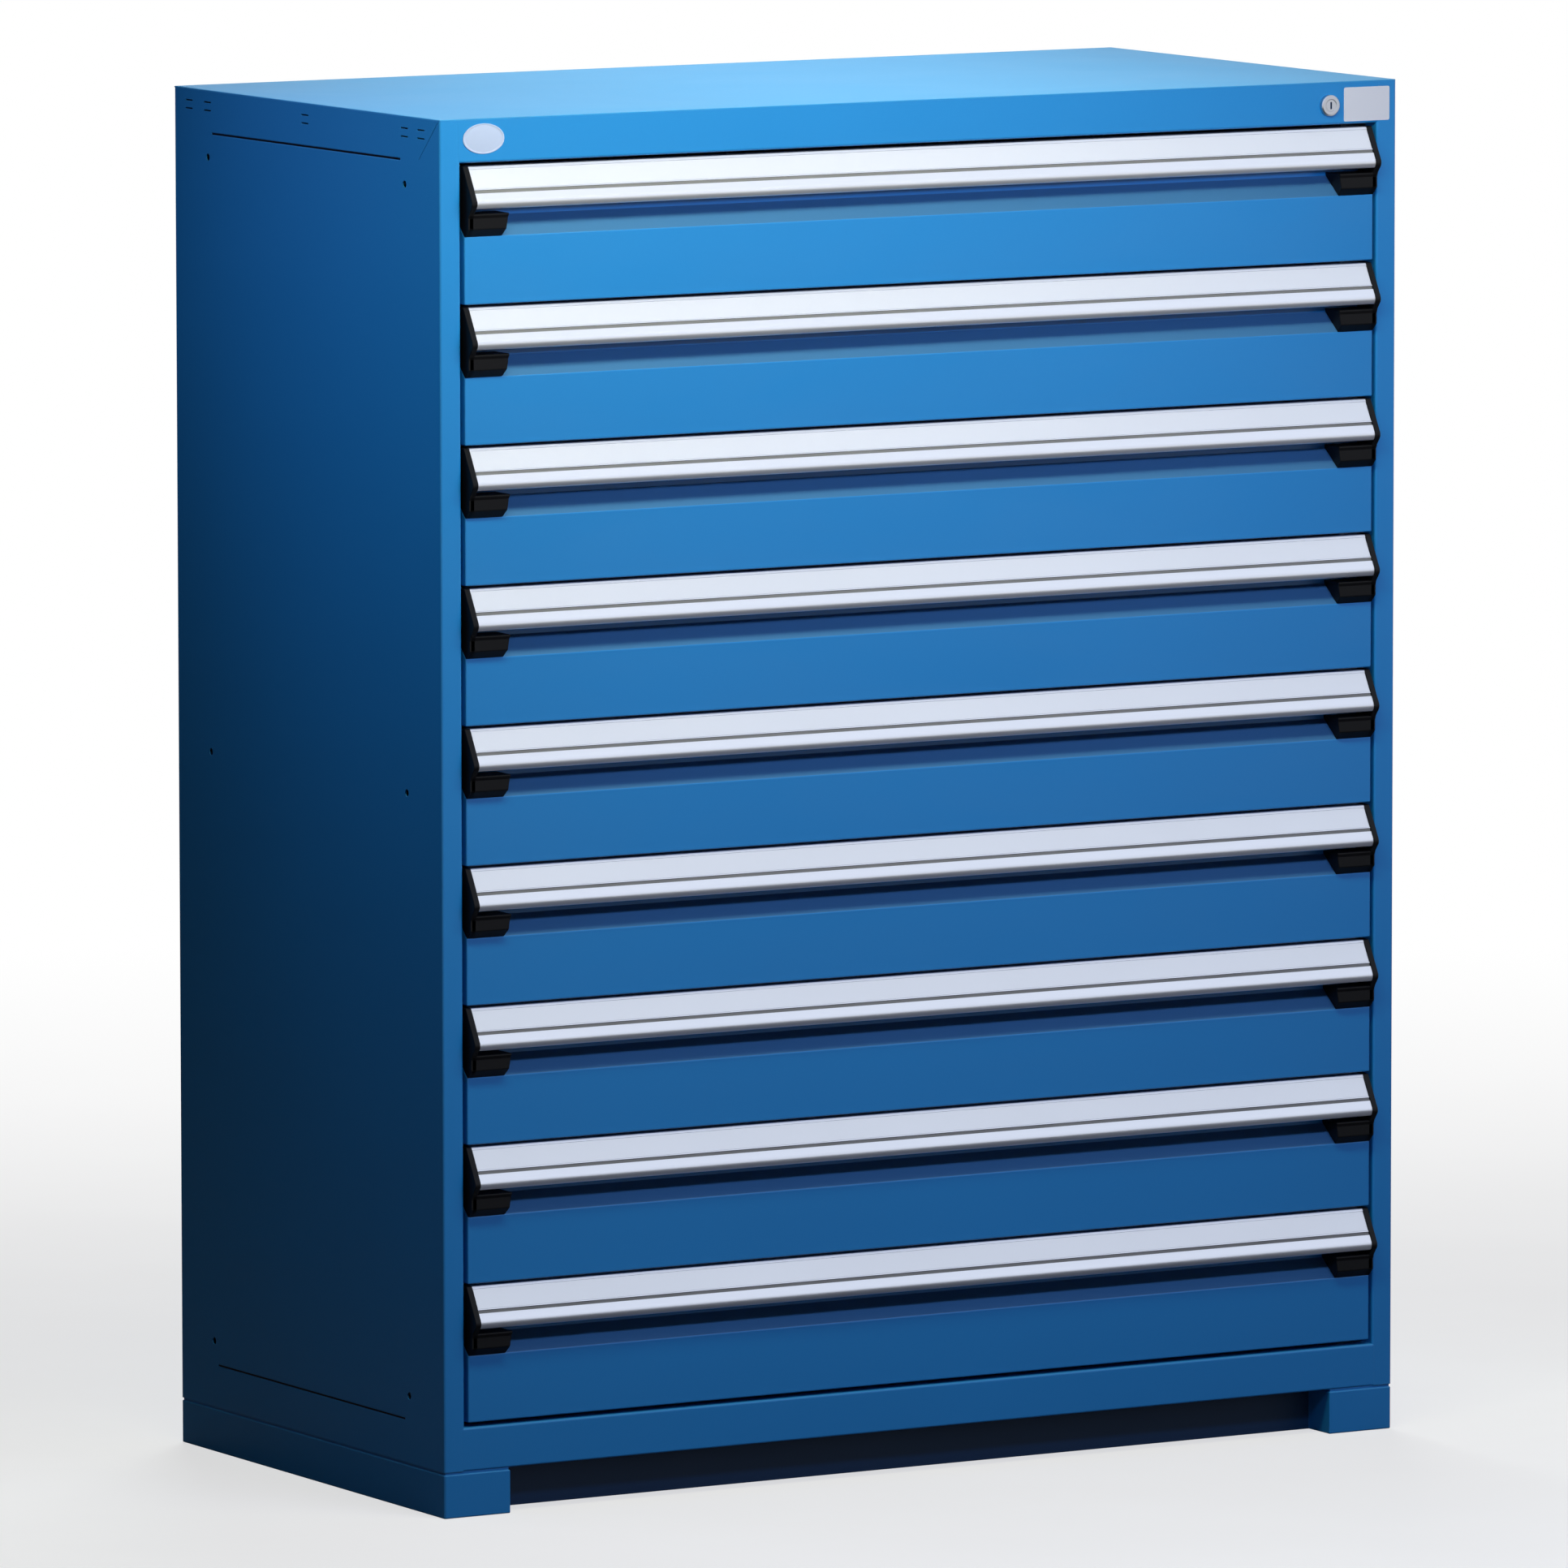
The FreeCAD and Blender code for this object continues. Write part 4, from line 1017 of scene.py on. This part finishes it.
# %% [markdown]
# ## Camera
# A long lens from far away keeps the tall sides almost parallel. The camera's place and direction are given
# as three vectors, which is easier to read than Euler angles: right and up span the picture, and forward
# looks in.

# %% Camera
right = Vector((0.864250, -0.503062, -0.000945))
forward = Vector((0.499495, 0.858343, -0.117270))
up = right.cross(forward)
camera_place = Vector((-8.33905, -14.31335, 2.69458))

lens = bpy.data.cameras.new("Camera")
lens.lens = 342.28
lens.sensor_width = 36.0
lens.sensor_fit = "HORIZONTAL"
lens.clip_end = 200.0
camera = bpy.data.objects.new("Camera", lens)
turn = Matrix((right, up, -forward)).transposed()
camera.matrix_world = Matrix.Translation(camera_place) @ turn.to_4x4()
bpy.context.scene.collection.objects.link(camera)
bpy.context.scene.camera = camera
look_down = math.degrees(math.asin(-forward.z))
print(f"camera {camera_place.length:.1f} m from the middle, looking down {look_down:.1f}°")

# %% [markdown]
# ## Floor
# The floor is one large disc. Near the cabinet it takes light and keeps the soft shadow. Towards its rim it
# turns into plain white, so that it runs into the white background without a line.

# %% Floor
floor_radius = 30.0
white_from_to, mirrored_from_to = (1.3, 4.5), (2.5, 8.0)
near_white = 0.64
bounce = 0.14


def floor_disc():
    """Rings of points (r cos t, r sin t, 0) on a grid of radius r and angle t."""
    radius = np.concatenate([[0.01], np.linspace(0.5, 6, 12), [floor_radius]])
    angle = np.linspace(0, 2 * np.pi, 97)[:-1]
    grid = np.stack(np.broadcast_arrays(
        radius[:, None] * np.cos(angle), radius[:, None] * np.sin(angle), np.zeros((1, 1))
    ), -1)
    count = len(angle)
    start = np.arange(len(radius) - 1)[:, None] * count
    here, beside = np.arange(count)[None], (np.arange(count)[None] + 1) % count
    quads = np.stack([start + here, start + here + count, start + beside + count, start + beside], -1)
    faces = [list(range(count)), *quads.reshape(-1, 4).tolist()]
    mesh = bpy.data.meshes.new("floor")
    mesh.from_pydata(grid.reshape(-1, 3), [], faces)
    piece = bpy.data.objects.new("floor", mesh)
    bpy.context.scene.collection.objects.link(piece)
    piece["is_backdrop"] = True
    return piece


def bright_side(tree, x, y, dark):
    """1 to the right and in front, falling to the dark level behind on the left."""
    to_the_right = ramp(tree, x, (-0.05, 0.9), (dark, 1.0))
    in_front = ramp(tree, maths(tree, "MULTIPLY", y, -1.0), (-0.3, 0.4), (dark, 1.0))
    return maths(tree, "MAXIMUM", to_the_right, in_front)


def floor_finish():
    """Matt and speckled near the cabinet, and plain white further out.

    Glossy rays meet the white only far out and on the bright side. Other rays meet a dim floor, so that
    little light comes from below.
    """
    material, tree, _ = start_material("Pale studio floor")
    tree.nodes.clear()
    here = coordinates(tree)
    far = add(tree, "ShaderNodeVectorMath", {0: here}, operation="LENGTH").outputs["Value"]
    x, y, _ = parts_of(tree, here)
    bright = bright_side(tree, maths(tree, "DIVIDE", x, far), maths(tree, "DIVIDE", y, far), 0.0)
    ray = tree.nodes.new("ShaderNodeLightPath").outputs
    seen = ramp(tree, far, white_from_to, (near_white, 1.0))
    mirrored = maths(tree, "MULTIPLY", ramp(tree, far, mirrored_from_to, (0.0, 1.0)), bright)
    speckle = add(tree, "ShaderNodeTexNoise", {"Vector": here, "Scale": 3.0, "Detail": 6.0})
    tone = ramp(tree, speckle.outputs["Fac"], (0.2, 0.8), (0.80, 0.86))
    level = maths(tree, "ADD", maths(tree, "MULTIPLY", ray["Is Camera Ray"], 1 - bounce), bounce)
    matt = add(tree, "ShaderNodeBsdfDiffuse", {"Color": maths(tree, "MULTIPLY", tone, level)})
    white = add(tree, "ShaderNodeEmission", {"Color": (1, 1, 1, 1), "Strength": 1.0})
    white_share = maths(
        tree, "ADD", maths(tree, "MULTIPLY", ray["Is Camera Ray"], seen),
        maths(tree, "MULTIPLY", ray["Is Glossy Ray"], mirrored),
    )
    mixed = add(tree, "ShaderNodeMixShader", {
        "Fac": white_share, 1: matt.outputs["BSDF"], 2: white.outputs["Emission"]
    })
    add(tree, "ShaderNodeOutputMaterial", {"Surface": mixed.outputs["Shader"]})
    return material


floor_disc().data.materials.append(floor_finish())

# %% [markdown]
# ## Light
# A long warm strip hangs close above the front, so the top drawers are brightest, and the handles throw a
# crisp shadow that grows longer towards the floor. A cool box further out fills it, so the light turns from
# warm to cool on the way down. One box grazes the left side, one lights the top and one the back. The
# surroundings are white to the camera. A shiny surface meets a slightly blue room that is bright on the right
# and in front. Elsewhere they are dim and only fill the shadows.

# %% Soft boxes
DAYLIGHT, SKYLIGHT = (1.0, 1.0, 1.0), (0.93, 1.0, 0.94)
WARM, COOL = (1.0, 0.98, 0.74), (0.58, 0.65, 1.0)


def soft_box(name, place, aim, size, power, colour=DAYLIGHT, spread=math.pi):
    """A rectangle of light. A spread below 180 degrees is a grid in front of it, which narrows its beam."""
    lamp = bpy.data.lights.new(name, "AREA")
    lamp.shape = "RECTANGLE"
    lamp.size, lamp.size_y = size
    lamp.energy, lamp.color, lamp.spread = power, colour, spread
    holder = bpy.data.objects.new(name, lamp)
    holder.visible_camera = holder.visible_glossy = False
    turn = (Vector(aim) - Vector(place)).to_track_quat("-Z", "Y").to_matrix()
    holder.matrix_world = Matrix.Translation(place) @ turn.to_4x4()
    bpy.context.scene.collection.objects.link(holder)
    return holder


# Each box has a place, a point to aim at, a size and a power in watts, then a colour and a spread in radians.
soft_box("Overhead strip", (-0.378, -1.007, 1.953), (-0.227, -0.296, 0.7), (1.676, 0.1), 14.8, WARM)
soft_box("Front soft box", (0.153, -2.237, 1.77), (0.046, -0.296, 0.6), (1.2, 0.2), 20.2, COOL)
soft_box("Side soft box", (-1.2, 0.16, 1.827), (-0.67, -0.47, 1.2), (0.9, 0.9), 2.0, COOL, 1.6)
soft_box("Top soft box", (0.2, 0.68, 2.6), (0.0, -0.2, 1.43), (1.06, 1.34), 8.6, SKYLIGHT, 1.2)
soft_box("Back soft box", (1.6, 3.2, 2.4), (0.2, 0.3, 0.7), (2.0, 1.6), 75)

# %% Surroundings
BLUISH, WHITE = (0.93, 1.0, 1.15, 1), (1, 1, 1, 1)
below_level, dark_level, fill_level = 0.25, 0.04, 0.045


def surroundings():
    """White to the camera, a bluish room with a bright side to shiny surfaces, a dim fill to the rest."""
    world = bpy.data.worlds.new("Studio")
    bpy.context.scene.world = world
    world.use_nodes = True
    tree = world.node_tree
    tree.nodes.clear()
    x, y, z = parts_of(tree, coordinates(tree, "Generated"))
    upper = ramp(tree, z, (-0.30, 0.12), (below_level, 1.0))
    room = maths(tree, "MULTIPLY", upper, bright_side(tree, x, y, dark_level))
    fill = ramp(tree, z, (-0.2, 1.0), (0.0, fill_level))
    ray = tree.nodes.new("ShaderNodeLightPath").outputs
    unseen = mix(tree, ray["Is Glossy Ray"], fill, room, "FLOAT")
    strength = mix(tree, ray["Is Camera Ray"], unseen, 1.0, "FLOAT")
    tint = mix(tree, ray["Is Camera Ray"], BLUISH, WHITE)
    light = add(tree, "ShaderNodeBackground", {"Color": tint, "Strength": strength})
    add(tree, "ShaderNodeOutputWorld", {"Surface": light.outputs["Background"]})


surroundings()
bpy.context.scene.view_settings.view_transform = "Standard"

# %% [markdown]
# ## Finish
# The boxes of the frame and of the dressed model are measured, and their sizes are printed.

# %% Box sizes
box_of_the_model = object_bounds()
sizes = {
    "frame": [list(corner) for corner in box_of_the_frame], "model": [list(corner) for corner in box_of_the_model]
}
for name, box in sizes.items():
    print(name, [round(high - low, 4) for low, high in zip(*box)])
